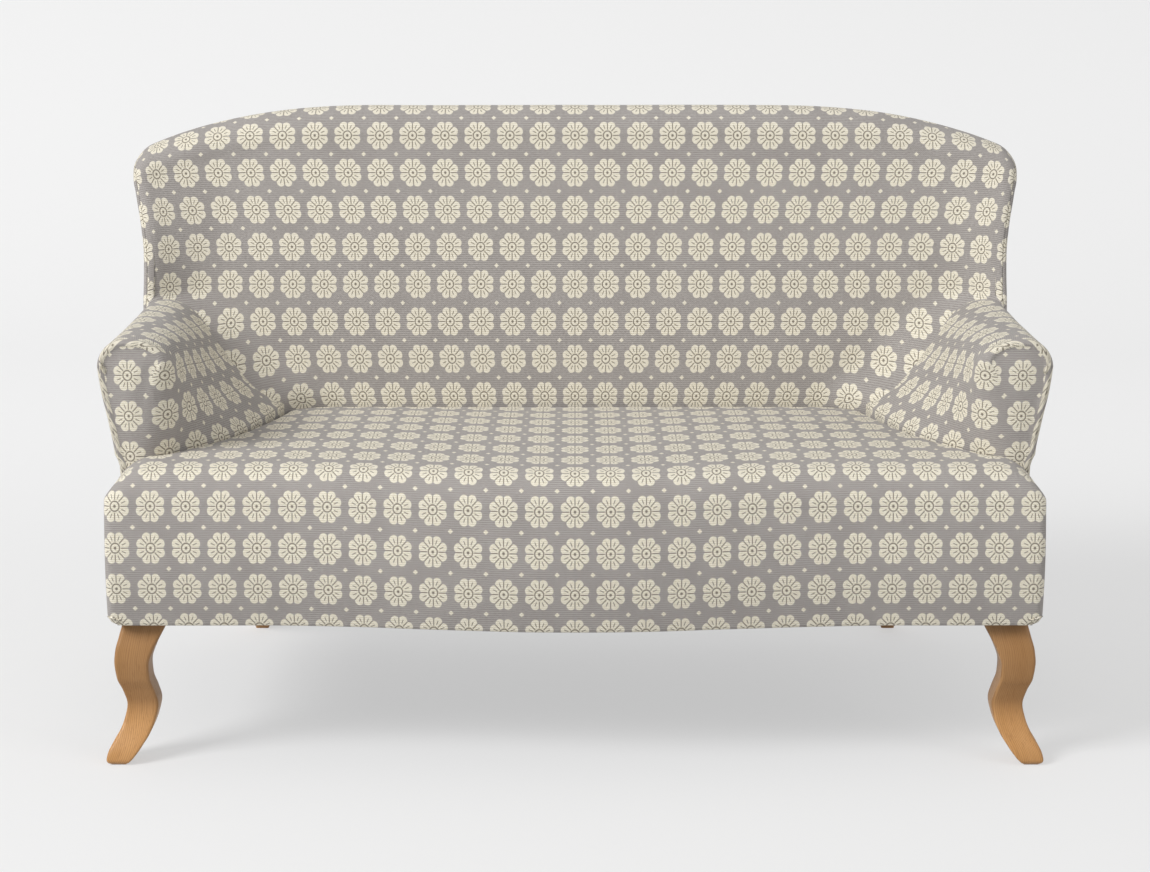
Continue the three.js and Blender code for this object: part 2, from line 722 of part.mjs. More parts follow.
function spring(x) {
  const front = bowed(x, springFront);
  const points = steps(springWaves * stepsPerWave).map((t) => new THREE.Vector3(
    x + springWaveHalfWidth * Math.sin(2 * Math.PI * springWaves * t),
    mix(front, springRear, t),
    springAxis + springCrown * Math.sin(Math.PI * t),
  ));
  const round = new THREE.EllipseCurve(0, 0, springWireRadius, springWireRadius);
  const section = new THREE.Shape(round.getPoints(wireSides).slice(1));
  const path = new THREE.CatmullRomCurve3(points);
  return welded(new THREE.ExtrudeGeometry(section, {
    extrudePath: path, steps: springWaves * stepsPerWave, bevelEnabled: false,
  }));
}

for (const k of steps(springCount - 1)) {
  const x = mix(-outerSpringX, outerSpringX, k);
  addPart(`seat_spring_${Math.round(k * (springCount - 1)) + 1}`, spring(x), steel);
}

// Webbing straps down the inside of the back
const strapCore = toSolid(backForm(backFoamFar + clearance, cutOverrun, true));
const outerStrapX = armBackHalfWidth - strapSideMargin;
const strapSheet = cut(strapCore, strapCore.translate(0, strapThickness, 0));
for (const k of steps(strapCount - 1)) {
  const x = mix(-outerStrapX, outerStrapX, k);
  const top = topZ(Math.abs(x) + strapWidth / 2) - timberBack - crestRailHeight + strapLap;
  const band = box(x - strapWidth / 2, x + strapWidth / 2, 0, bodyDepth, tackRailTop - strapLap, top);
  addPart(`back_strap_${Math.round(k * (strapCount - 1)) + 1}`, keep(strapSheet, band), webbing);
}

// The seat: a section in Y and Z from the foot of its front over the roll to its back
const wallShares = [0, 0.02, 0.06, 0.12, 0.35, 0.6, 0.82, 1];

function seatSection() {
  const shoulder = seatHeight - seatRollRadius;
  const points = wallShares.map((t) => (
    new THREE.Vector2(-frontFullness * Math.sin(Math.PI * t), mix(legHeight, shoulder, t))
  ));
  for (const t of steps(seatRollSteps).slice(1)) {
    const angle = t * Math.PI / 2;
    points.push(new THREE.Vector2(
      seatRollRadius * (1 - Math.cos(angle)), shoulder + seatRollRadius * Math.sin(angle),
    ));
  }
  for (const t of steps(seatTopSteps).slice(1)) {
    const crown = seatCrown * Math.sin(Math.PI * t);
    points.push(new THREE.Vector2(
      mix(seatRollRadius, seatRear, t), mix(seatHeight, seatBackHeight, t) + crown,
    ));
  }
  return points;
}

// The ends of the seat turn down with a wide round, and its front's ends turn back with a small one
function seatRings(sectionOf, near) {
  const line = seatSection();
  const inward = inset(line, 1, false).map((p, i) => p.sub(line[i]));
  const half = bodyWidth / 2 + seatSideGrowth - near;
  const lastWall = wallShares.length - 1;
  const endShare = line.map((p, i) => (
    Math.sin(THREE.MathUtils.clamp((i - lastWall) / seatRollSteps, 0, 1) * Math.PI / 2)));
  const radius = endShare.map((t) => mix(blockEdgeRadius, seatEndRadius, t));
  const footRound = line.map((p) => {
    const t = THREE.MathUtils.clamp(1 - (p.y - legHeight) / blockEdgeRadius, 0, 1);
    return blockEdgeRadius * (1 - Math.sqrt(1 - t * t));
  });
  const ring = (back, down, xOf) => {
    const sunk = line.map((p, i) => new THREE.Vector2(
      p.x + inward[i].x * back, p.y + inward[i].y * mix(back, down, endShare[i]),
    ));
    return sectionOf(sunk, near).map((p, j) => {
      const x = xOf(j < line.length ? j : Math.max(2 * line.length - 1 - j, 0));
      return new THREE.Vector3(x, bowed(x, p.x), p.y);
    });
  };
  const flat = steps(seatStations).map((t) => (
    ring(0, 0, (i) => mix(-1, 1, t) * (half - radius[i] - footRound[i]))));
  const round = [...steps(roundingSteps).slice(1), null].map((t) => (side) => {
    if (t === null) {
      return ring(blockReturn, seatHeight - seatSideZ, (i) => side * (half - footRound[i]));
    }
    const angle = t * Math.PI / 2;
    const turn = 1 - Math.cos(angle);
    return ring(blockEdgeRadius * turn, seatEndRadius * turn, (i) => (
      side * (half - footRound[i] - radius[i] * (1 - Math.sin(angle)))));
  });
  return [...round.map((at) => at(-1)).reverse(), ...flat, ...round.map((at) => at(1))];
}

// Plan of the seat: a wide front block, and the space between the arms
const seatPlan = (() => {
  const ys = steps(seatPlanSteps).map((t) => mix(armFrontY, seatRear, t));
  const side = ys.map((y) => [armInsideX(y) + seamAllowance, y]);
  const blockRear = armFrontY - clearance;
  const half = [[backWidth, -cutOverrun], [backWidth, blockRear], [side[0][0], blockRear], ...side];
  return boardFlat([...half, ...[...half].reverse().map(([x, y]) => [-x, y])], 0, totalHeight);
})();
const armSpace = armForm(-clearance, -clearance, 0);
const besideArms = [backSpace, armSpace, mirrored(armSpace)];

const yz = (p) => new THREE.Vector2(p.y, p.z);
const seatCloth = loft(seatRings((line) => strip(line, 0, clothThickness), 0), yz);
addPart('seat_cover', cut(keep(seatCloth, seatPlan), ...besideArms), cloth);

// Foam: the seat's lies on the felt and turns down over the front rail
const seatBlock = loft(seatRings((line) => [
  ...inset(line, foamNear, false), new THREE.Vector2(seatRear, legHeight),
], foamNear), yz);
const frameXs = steps(bowSteps).map((t) => mix(-frameSide, frameSide, t));
const underSeat = boardFlat([
  [-backWidth, frameFront - clearance],
  ...frameXs.map((x) => [x, bowed(x, frameFront) - clearance]),
  [backWidth, frameFront - clearance], [backWidth, bodyDepth], [-backWidth, bodyDepth],
], 0, springTop + clearance + feltThickness + clearance);
const besideSeat = box(
  frameSide - clearance, backWidth, blockReturn, bodyDepth, 0, seatSideZ + clearance,
);
addPart('seat_foam', cut(
  keep(seatBlock, seatPlan), underSeat, besideSeat, mirrored(besideSeat), ...besideArms,
), foam);
addPart('seat_felt', box(
  -outerSpringX - feltMargin, outerSpringX + feltMargin, sideRailFront + feltMargin, seatDepth - feltMargin,
  springTop + clearance, springTop + clearance + feltThickness,
), webbing);

// Outside panels: a sheet over the whole side, kept where the seat, the arm and the back have no cloth.
// A gap of clearance gives the space that the sheet needs among its neighbours.
const wingSection = backSection(1, 0).points;
const panelTop = sideTop - cornerRadius / 2;

function sidePanel(gap) {
  const rings = steps(panelSteps).map((t) => {
    const line = [...steps(panelRows)].reverse().map((k) => {
      const z = mix(legHeight, panelTop, k);
      return new THREE.Vector2(armSideX(mix(blockReturn, rearY(z), t), z), z);
    });
    return strip(line, -gap, clothThickness + gap).map((p) => (
      new THREE.Vector3(p.x, mix(blockReturn + clearance, rearY(p.y) - foamNear, t), p.y)
    ));
  });
  const wingEdge = cornerRadius + clothThickness + clearance - gap;
  const wing = boardAlong(inset(wingSection, wingEdge, true).map((p) => [p.x, p.y]), 0, backWidth);
  const rearTop = topZ(backWidth / 2) - outsideSeamDrop - clearance + gap;
  const rearStrip = boardAlong([
    [rearY(0) - 2 * wingEdge, 0], [rearY(rearTop) - 2 * wingEdge, rearTop], [rearY(rearTop), rearTop],
    [rearY(0), 0],
  ], 0, backWidth);
  const armEdge = armFrontY + armFrontRounding + clearance;
  const arm = box(0, backWidth, armEdge, bodyDepth + cutOverrun, 0, sideSeamZ - clearance + gap);
  const block = box(0, backWidth, 0, armEdge, 0, seatSideZ - clearance + gap);
  const region = join(join(arm, block), join(wing, rearStrip));
  return keep(loft(rings, (p) => new THREE.Vector2(p.x, p.z)), region);
}

function rearPanel(gap) {
  const rings = backStationList(0, true).map(({ share }) => {
    const spread = (z) => share * (sideX(Math.min(z, sideTop)) - clothThickness - clearance);
    const top = topZ(spread(sideTop)) - outsideSeamDrop - clearance + gap;
    const line = [top, legHeight].map((z) => new THREE.Vector2(rearY(z), z));
    return strip(line, -gap, clothThickness + gap).map((p) => new THREE.Vector3(spread(p.y), p.x, p.y));
  });
  return loft(rings, (p) => new THREE.Vector2(p.y, p.z));
}

addPair('side_panel', sidePanel(0), cloth);
addPart('rear_panel', rearPanel(0), cloth);
const sideSpace = sidePanel(clearance);
const panelSpaces = [sideSpace, mirrored(sideSpace), rearPanel(clearance)];

// Arms: foam over the board and rail, and cloth drawn over it to the seam outside
const armCloth = cut(
  armForm(0, 0), armForm(clothThickness, clothThickness), outsideCut, underCut, backSpace, sideSpace,
);
addPair('arm_cover', armCloth, cloth);
const armFoam = cut(
  armForm(foamNear, foamNear), armForm(armFoamFar, armFoamFront, 0),
  outsideCut, underCut, backSpace, sideSpace,
);
addPair('arm_foam', armFoam, foam);

// Back: padding on its face and over the top, open behind and at its sides
const behindRings = backStationList(cutOverrun, true).map(({ share, shift }) => {
  const { spread } = backSection(share, shift);
  const seam = topZ(spread(sideTop)) - outsideSeamDrop;
  return [
    [rearY(0) - rearMargin, 0], [rearY(seam) - rearMargin, seam], [bodyDepth + cutOverrun, seam],
    [bodyDepth + cutOverrun, 0],
  ].map(([y, z]) => new THREE.Vector3(spread(z), y, z));
});
const behindCut = loft(behindRings, yz);
const sideCut = (top, depth) => boardAcross([
  ...steps(bowSteps).map((t) => mix(0, top, t)).map((z) => [sideX(z) - foamNear - depth, z]),
  [backWidth, top], [backWidth, 0],
], 0, bodyDepth + cutOverrun);
const lowSideCut = sideCut(sideSeamZ, clearance);
const wholeSideCut = sideCut(totalHeight, clearance);
const foamSideCut = sideCut(sideSeamZ, seamAllowance);
addPart('back_cover', cut(
  backForm(0), backForm(clothThickness, seamAllowance), behindCut, underCut,
  lowSideCut, mirrored(lowSideCut), ...panelSpaces,
), cloth);
addPart('back_foam', cut(
  backForm(foamNear, seamAllowance), backForm(backFoamFar, cutOverrun, true), behindCut, underCut,
  wholeSideCut, mirrored(wholeSideCut), foamSideCut, mirrored(foamSideCut), ...panelSpaces,
), foam);

// Lining under the frame, open for the legs
const liningOutline = [
  ...frameXs.map((x) => [x, bowed(x, frameFront)]),
  [frameSide, frameRear], [-frameSide, frameRear],
];
const legGap = (x, y, width) => {
  const reach = width / 2 + clearance;
  return box(x - reach, x + reach, y - reach, y + reach, 0, railTop);
};
const frontGap = legGap(frontLegX, frontLegY, legTopWidth);
const backGap = legGap(backLegX, backLegY, backLegTopWidth);
const liningSheet = boardFlat(liningOutline, legHeight, legHeight + liningThickness);
addPart('dust_cover', cut(
  liningSheet, frontGap, mirrored(frontGap), backGap, mirrored(backGap),
), lining);

// The sofa stands on the middle of its own outline
const extent = new THREE.Box3().setFromObject(sofa);
sofa.position.y = -(extent.min.y + extent.max.y) / 2;
sofa.updateMatrixWorld(true);

export default sofa;
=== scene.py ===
import math

import bpy
import bmesh
import numpy as np
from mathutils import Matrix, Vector, geometry, noise


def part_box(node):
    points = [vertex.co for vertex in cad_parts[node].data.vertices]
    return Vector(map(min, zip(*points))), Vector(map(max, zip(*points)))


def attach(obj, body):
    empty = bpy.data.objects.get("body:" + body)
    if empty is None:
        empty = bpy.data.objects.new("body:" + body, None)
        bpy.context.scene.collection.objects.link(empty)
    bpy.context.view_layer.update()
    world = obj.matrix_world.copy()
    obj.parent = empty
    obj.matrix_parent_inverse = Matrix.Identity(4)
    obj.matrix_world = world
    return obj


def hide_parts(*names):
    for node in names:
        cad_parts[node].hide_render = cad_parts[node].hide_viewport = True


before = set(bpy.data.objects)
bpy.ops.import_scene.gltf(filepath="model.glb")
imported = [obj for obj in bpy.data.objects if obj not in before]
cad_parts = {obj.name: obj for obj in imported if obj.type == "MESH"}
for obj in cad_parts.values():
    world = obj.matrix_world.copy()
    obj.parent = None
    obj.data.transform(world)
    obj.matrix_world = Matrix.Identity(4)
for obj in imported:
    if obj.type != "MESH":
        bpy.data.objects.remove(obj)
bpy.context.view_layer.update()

# Sizes in millimetres, as in the part's source. X runs along the sofa, Y to its back, Z up.
MM = 0.001
# The whole
BACK_WIDTH = 1484
WING_FLARE = 27
WAIST_FLARE = 21
ROLL_SWELL = 7
BODY_DEPTH = 700
BACK_THICKNESS = 135
LEG_HEIGHT = 217
SEAT_HEIGHT = 455
ARM_HEIGHT = 634
TOTAL_HEIGHT = 932
FRONT_BOW = 38
BOW_HALF_WIDTH = 480
WAIST_WIDTH = BACK_WIDTH - 2 * WING_FLARE
BODY_WIDTH = WAIST_WIDTH - 2 * WAIST_FLARE
SEAT_DEPTH = BODY_DEPTH - BACK_THICKNESS

CLOTH = 2.0
CLEARANCE = 0.3
LINING = 1.0
NUDGE = 0.5  # keeps a hidden edge off the surface that it turns in behind

# The back
FACE_RAKE = 0.21
REAR_RAKE = 0.086
TOP_ROLL = 52
CORNER = 30
CROWN_DROP = 76
CROWN_FLAT = 300
CROWN_POWER = 2.6
BACK_FULLNESS = 9
WRAP_LOW = 110
WRAP_MIDDLE = 75
WRAP_HIGH = 38
WRAP_POWER = 2.5
WRAP_WIDTH = 130
WRAP_WIDTH_HIGH = 240
OUTSIDE_SEAM_DROP = 56

# The arms
ARM_FRONT_Y = 100
ARM_FRONT_HALF = BODY_WIDTH / 2 - 74
ARM_BACK_HALF = BODY_WIDTH / 2 - 216
# Height, and half the width there at which the back's wrap ends
WRAP_HALVES = [[SEAT_HEIGHT, ARM_BACK_HALF + 42], [520, 584], [563, 618], [590, 648], [619, 694],
               [ARM_HEIGHT, WAIST_WIDTH / 2]]
ROLL_FRONT_WIDTH = 87
ROLL_BACK_WIDTH = 114
ROLL_HEIGHT = 44
ROLL_HEIGHT_BACK = 80  # the roll's height inside the arm, where it meets the back
ROLL_CREST = 0.62
ROLL_CREST_BACK = 0.84
ARM_FULLNESS_FRONT = 5
ARM_FULLNESS_BACK = -10  # below 0 the inside face is hollow
ARM_FALL = 9
ARM_BOTTOM_Z = SEAT_HEIGHT - 90
SIDE_SEAM_Z = ARM_HEIGHT - 42
ARM_PANEL_Y = ARM_FRONT_Y + 9

# The seat
SEAT_FALL = 13
SEAT_SIDE_GROWTH = 6
SEAT_CROWN = 6
FRONT_FULLNESS = 9
SEAT_ROLL = 56
SEAT_END_ROLL = 68
BLOCK_EDGE = 14
END_RETURN = 4  # how far the seat's end is turned in beyond its rounding
SIDE_TOP = TOTAL_HEIGHT - CROWN_DROP - CORNER / 2

# The print: one repeat across and up
PITCH_X = 52.6
PITCH_Z = 62.5

# How far the part's frame lies behind the front rail line
SHIFT = BODY_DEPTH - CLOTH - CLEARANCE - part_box("back_rail")[1].y / MM

# Where one cloth is sewn to the next, each turns in by this much, so that a fine groove shows
SEAM_DEPTH = 3.0


def follow(table, at):
    """A smooth value between the rows [at, value] of a table."""
    last = len(table) - 1
    if at <= table[0][0]:
        return table[0][1]
    if at >= table[last][0]:
        return table[last][1]
    i = 0
    while at > table[i + 1][0]:
        i += 1

    def slope(a, b):
        return (table[b][1] - table[a][1]) / (table[b][0] - table[a][0])

    def tangent(k):
        if k in (0, last):
            return 0
        before, after = slope(k - 1, k), slope(k, k + 1)
        return 0 if before * after <= 0 else 2 * before * after / (before + after)

    span = table[i + 1][0] - table[i][0]
    t = (at - table[i][0]) / span
    t2, t3 = t * t, t * t * t
    return ((2 * t3 - 3 * t2 + 1) * table[i][1] + (t3 - 2 * t2 + t) * span * tangent(i)
            + (3 * t2 - 2 * t3) * table[i + 1][1] + (t3 - t2) * span * tangent(i + 1))


def mix(a, b, t):
    return a + (b - a) * t


def clamp(t):
    return min(max(t, 0.0), 1.0)


def smooth(t):
    k = clamp(t)
    return k * k * (3 - 2 * k)


def quarter(count, start=0.0, end=90.0):
    """Angles in radians from start to end degrees."""
    return np.radians(np.linspace(start, end, count))


# Shares of the way out at shares of the height, or of the way in along the arm
SIDE_SHARES = [[0, 0], [0.9, 0.09], [1, 0.12]]
FLARE_SHARES = [[0, 0], [0.28, 0.3], [0.6, 0.75], [1, 1]]
WING_SHARES = [[0, 0], [0.3, 0.07], [0.5, 0.26], [0.72, 0.6], [0.9, 0.88], [1, 1]]
ARM_LINE_SHARES = [[0, 0], [0.06, 0.05], [0.12, 0.15], [0.19, 0.3], [0.26, 0.42], [0.39, 0.59],
                   [0.58, 0.76], [0.79, 0.91], [1, 1], [1.4, 1.04]]


def side_x(z):
    body, waist, back = BODY_WIDTH / 2, WAIST_WIDTH / 2, BACK_WIDTH / 2
    if z <= SEAT_HEIGHT:
        share = follow(SIDE_SHARES, (z - LEG_HEIGHT) / (SEAT_HEIGHT - LEG_HEIGHT))
        return mix(body - ROLL_SWELL, body, share)
    if z <= ARM_HEIGHT:
        share = follow(FLARE_SHARES, (z - SEAT_HEIGHT) / (ARM_HEIGHT - SEAT_HEIGHT))
        return mix(body, waist, share)
    return mix(waist, back, follow(WING_SHARES, (z - ARM_HEIGHT) / (SIDE_TOP - ARM_HEIGHT)))


def top_z(x):
    t = max(abs(x) - CROWN_FLAT, 0) / (BACK_WIDTH / 2 - CROWN_FLAT)
    return TOTAL_HEIGHT - CROWN_DROP * min(t, 1) ** CROWN_POWER


def bowed(x, y):
    bell = (1 + math.cos(math.pi * min(abs(x) / BOW_HALF_WIDTH, 1))) / 2
    return y - FRONT_BOW * bell * (1 - smooth(y / (SEAT_DEPTH / 2)))


def back_face_y(x, z):
    rise = max(z - SEAT_HEIGHT, 0)
    upper = clamp((z - ARM_HEIGHT) / (SIDE_TOP - ARM_HEIGHT))
    lower = clamp(rise / (ARM_HEIGHT - SEAT_HEIGHT))
    below = z < ARM_HEIGHT
    reach = mix(WRAP_LOW, WRAP_MIDDLE, lower) if below else mix(WRAP_MIDDLE, WRAP_HIGH, upper)
    half = follow(WRAP_HALVES, z) if below else side_x(z)
    width = mix(WRAP_WIDTH, WRAP_WIDTH_HIGH, upper)
    t = clamp((abs(x) - half + width) / width)
    full = BACK_FULLNESS * math.sin(math.pi * min(rise / (SIDE_TOP - SEAT_HEIGHT), 1))
    return SEAT_DEPTH + FACE_RAKE * rise - reach * t ** WRAP_POWER - full


def rear_y(z):
    return BODY_DEPTH + REAR_RAKE * (z - LEG_HEIGHT)


def inset(points, distance):
    """Points of an open line moved to the right of the way that it runs, by one distance or one each."""
    points = np.asarray(points, float)
    along = np.gradient(points, axis=0)
    along /= np.linalg.norm(along, axis=1)[:, None]
    step = np.broadcast_to(distance, len(points))[:, None]
    return points + np.stack([along[:, 1], -along[:, 0]], 1) * step


def arc(points):
    """Distance along a line of points, from its first."""
    steps = np.linalg.norm(np.diff(points, axis=0), axis=1)
    return np.concatenate([[0], np.cumsum(steps)])


# Back: a section in Y and Z from below the seat, up the face, over the roll, to the seam behind
BACK_LOW_Z = 405
BACK_FACE_STEPS = 64
BACK_ROLL_STEPS = 26
BACK_STATIONS = 121
STATION_BUNCHING = 0.72  # closer stations towards the wings
REFERENCE_Z = 700
REAR_CORNER = 6  # the wing's rounding at the seam behind
REAR_CORNER_STEPS = 5  # points of the section over which it tightens
WING_SEAM_ANGLE = 48  # degrees round the wing's front edge to the seam of the outside panel
WING_STEPS = 9
SEAM_ANGLE = 2  # degrees of the turn that each cloth leaves to the groove of that seam
ARM_HIDE = 9  # below the arm's seam the back stays this far inside the sofa's side
ARM_HIDE_RISE = 6
ARM_HIDE_DEPTH = 5
DROP_START = 1.5


def back_section(share, shift):
    """The back's section at a share of the half width, less one shift or one for each of its points."""
    shifts = np.broadcast_to(shift, BACK_FACE_STEPS + BACK_ROLL_STEPS + 1)

    def spread(z, own=shifts[0]):
        return share * (side_x(min(z, SIDE_TOP)) - own)

    shoulder = top_z(spread(SIDE_TOP)) - TOP_ROLL
    points = []
    for t in np.linspace(0, 1, BACK_FACE_STEPS):
        z = mix(BACK_LOW_Z, shoulder, t)
        points.append((back_face_y(spread(z), z), z))
    front = points[-1][0]
    depth = rear_y(shoulder) - front
    for own, t in zip(shifts[BACK_FACE_STEPS:], np.linspace(0, 1, BACK_ROLL_STEPS)[1:]):
        angle = math.pi * t
        y = front + (1 - math.cos(angle)) * depth / 2
        crest = top_z(spread(SIDE_TOP, own))
        points.append((y, crest - (1 - math.sin(angle)) * TOP_ROLL))
    for z in (crest - TOP_ROLL - DROP_START, crest - OUTSIDE_SEAM_DROP):
        points.append((rear_y(z), z))
    return np.array(points), spread


def corner_radii():
    """The wing's rounding at each point of the back's section, tighter towards the seam behind."""
    last = BACK_FACE_STEPS + BACK_ROLL_STEPS - 2
    points = range(BACK_FACE_STEPS + BACK_ROLL_STEPS + 1)
    return np.array([mix(CORNER, REAR_CORNER, smooth((i - last + REAR_CORNER_STEPS) / REAR_CORNER_STEPS))
                     for i in points])


def wing_turn(angle, extra=0.0):
    """Sink and shift of each point of the back's section at an angle round its end."""
    radii = corner_radii()
    return radii * (1 - math.cos(angle)) + extra, radii * (1 - math.sin(angle)) + extra


def back_ring(share, sink, shift):
    section, spread = back_section(share, shift)
    line = []
    for (y, z), base, own in zip(inset(section, sink), section, shift):
        x = spread(z, own)
        if base[1] < SIDE_SEAM_Z + ARM_HIDE_RISE and base[0] < rear_y(base[1]) - ARM_HIDE_DEPTH:
            limit = side_x(z) - ARM_HIDE
            x = max(min(x, limit), -limit)
        line.append((x, y, z))
    return np.array(line), section


def back_surface():
    bunched = np.sin(np.linspace(-1, 1, BACK_STATIONS) * math.pi / 2 * STATION_BUNCHING)
    shares = bunched / bunched[-1]
    ends = [wing_turn(a) for a in quarter(WING_STEPS, 0, WING_SEAM_ANGLE)[1:]]
    ends.append(wing_turn(math.radians(WING_SEAM_ANGLE + SEAM_ANGLE), SEAM_DEPTH))
    stations = [(-1, *end) for end in reversed(ends)]
    stations += [(s, 0, corner_radii()) for s in shares] + [(1, *end) for end in ends]
    middle = back_section(0, CORNER)[0]
    seat_row = int(np.argmin(np.abs(middle[:BACK_FACE_STEPS, 1] - SEAT_HEIGHT)))
    middle_run = arc(middle) - arc(middle)[seat_row]
    rows, ups = [], []
    for share, sink, shift in stations:
        line, section = back_ring(share, sink, shift)
        line = np.vstack([line, line[-1] + np.array([0, -SEAM_DEPTH, 0])])
        run = arc(section)
        run = np.append(run, run[-1] + SEAM_DEPTH)
        face = np.interp(section[:BACK_FACE_STEPS, 1], middle[:BACK_FACE_STEPS, 1],
                         middle_run[:BACK_FACE_STEPS])
        ups.append(np.append(face, face[-1] + run[BACK_FACE_STEPS:] - run[BACK_FACE_STEPS - 1]))
        rows.append(line)
    grid = np.array(rows)
    reference = int(np.argmin(np.abs(middle[:BACK_FACE_STEPS, 1] - REFERENCE_Z)))
    across = arc(grid[:, reference])
    across -= across[len(stations) // 2]
    uv = np.stack([np.broadcast_to(across[:, None], grid.shape[:2]), np.array(ups)], 2)
    return grid, uv


# Arms: a section in X and Z at each Y, from below the seat up the face, over the roll, down outside
ARM_FACE_STEPS = 34
ARM_ROLL_STEPS = 30
ARM_OUTER_STEPS = 16
ARM_LOW_Z = 405
ARM_OUTER_LOW_Z = 376
ARM_PRINT_SHARE = 0.78  # the print runs wider along the arm's inside
HANDLE = 0.55  # share of a quarter turn's width and height for its curve handles
EDGE_INSIDE = 42  # rounding of the front edge inside the arm, and over its roll
EDGE_OUTSIDE = 8
EDGE_STEPS = 11
EDGE_END = 84  # degrees
SEAM_START_SHARE = 0.62  # where up the inside face the front's seam starts
SEAM_ROLL_SHARE = 0.3  # where over the roll it is full
FRONT_SEAM = 2.2
# Where the arm's rings lie, from its front to behind the back's face
ARM_SHARES = ([0.1, 0.112, 0.125, 0.14, 0.157, 0.175, 0.195, 0.22, 0.25, 0.28, 0.315, 0.35, 0.39,
               0.43, 0.47] + list(np.linspace(0.5, 1.12, 50)))


def arm_depth(y):
    return clamp((y - ARM_FRONT_Y) / (SEAT_DEPTH - ARM_FRONT_Y))


def arm_inside_x(y):
    t = (y - ARM_FRONT_Y) / (SEAT_DEPTH - ARM_FRONT_Y)
    return mix(ARM_FRONT_HALF, ARM_BACK_HALF, follow(ARM_LINE_SHARES, t))


def arm_side_x(y, z):
    rise = clamp((z - ARM_BOTTOM_Z) / (SIDE_SEAM_Z - ARM_BOTTOM_Z))
    return side_x(z) + ROLL_SWELL * (1 - arm_depth(y)) * rise


def arm_section(y):
    """Inside face and roll to the outside seam, then the outside down to below the seat's end."""
    t = arm_depth(y)
    crest = ARM_HEIGHT - ARM_FALL * t
    height = mix(ROLL_HEIGHT, ROLL_HEIGHT_BACK, smooth(t))
    shoulder = crest - height
    start = BODY_WIDTH / 2 - mix(ROLL_FRONT_WIDTH, ROLL_BACK_WIDTH, t)
    foot = arm_inside_x(y)
    outer = arm_side_x(y, crest - ROLL_HEIGHT)
    fullness = mix(ARM_FULLNESS_FRONT, ARM_FULLNESS_BACK, smooth(t * 2))
    points = []
    for z in np.linspace(ARM_LOW_Z, shoulder, ARM_FACE_STEPS):
        k = clamp((z - SEAT_HEIGHT) / (shoulder - SEAT_HEIGHT))
        points.append((mix(foot, start, k) - fullness * math.sin(math.pi * k), z))
    lean = (points[-1][0] - points[-2][0]) / (points[-1][1] - points[-2][1])
    middle = mix(start, outer, mix(ROLL_CREST, ROLL_CREST_BACK, smooth(t)))
    rise = height * HANDLE
    curve = np.array([(start, shoulder), (start + lean * rise, shoulder + rise),
                      (middle - (middle - start - lean * rise / 2) * HANDLE, crest), (middle, crest)])
    end = math.pi - math.asin((SIDE_SEAM_Z - crest + ROLL_HEIGHT) / ROLL_HEIGHT)
    for angle in np.linspace(0, end, ARM_ROLL_STEPS + 1)[1:]:
        if angle < math.pi / 2:
            k = angle / (math.pi / 2)
            weights = (1 - k) ** 3, 3 * k * (1 - k) ** 2, 3 * k * k * (1 - k), k ** 3
            points.append(tuple(weights @ curve))
        else:
            points.append((middle - math.cos(angle) * (outer - middle),
                           crest - (1 - math.sin(angle)) * ROLL_HEIGHT))
    for z in np.linspace(SIDE_SEAM_Z, ARM_OUTER_LOW_Z, ARM_OUTER_STEPS + 1)[1:]:
        points.append((arm_side_x(y, z), z))
    return np.array(points)


ARM_SEAM_ROW = ARM_FACE_STEPS + ARM_ROLL_STEPS - 1


def edge_share():
    """0 where the front and the inside are one cloth, rising to 1 where a seam joins front and roll."""
    count = ARM_SEAM_ROW + 1 + ARM_OUTER_STEPS
    start = ARM_FACE_STEPS * SEAM_START_SHARE
    reach = ARM_FACE_STEPS * (1 - SEAM_START_SHARE) + ARM_ROLL_STEPS * SEAM_ROLL_SHARE
    return np.array([smooth((i - start) / reach) for i in range(count)])


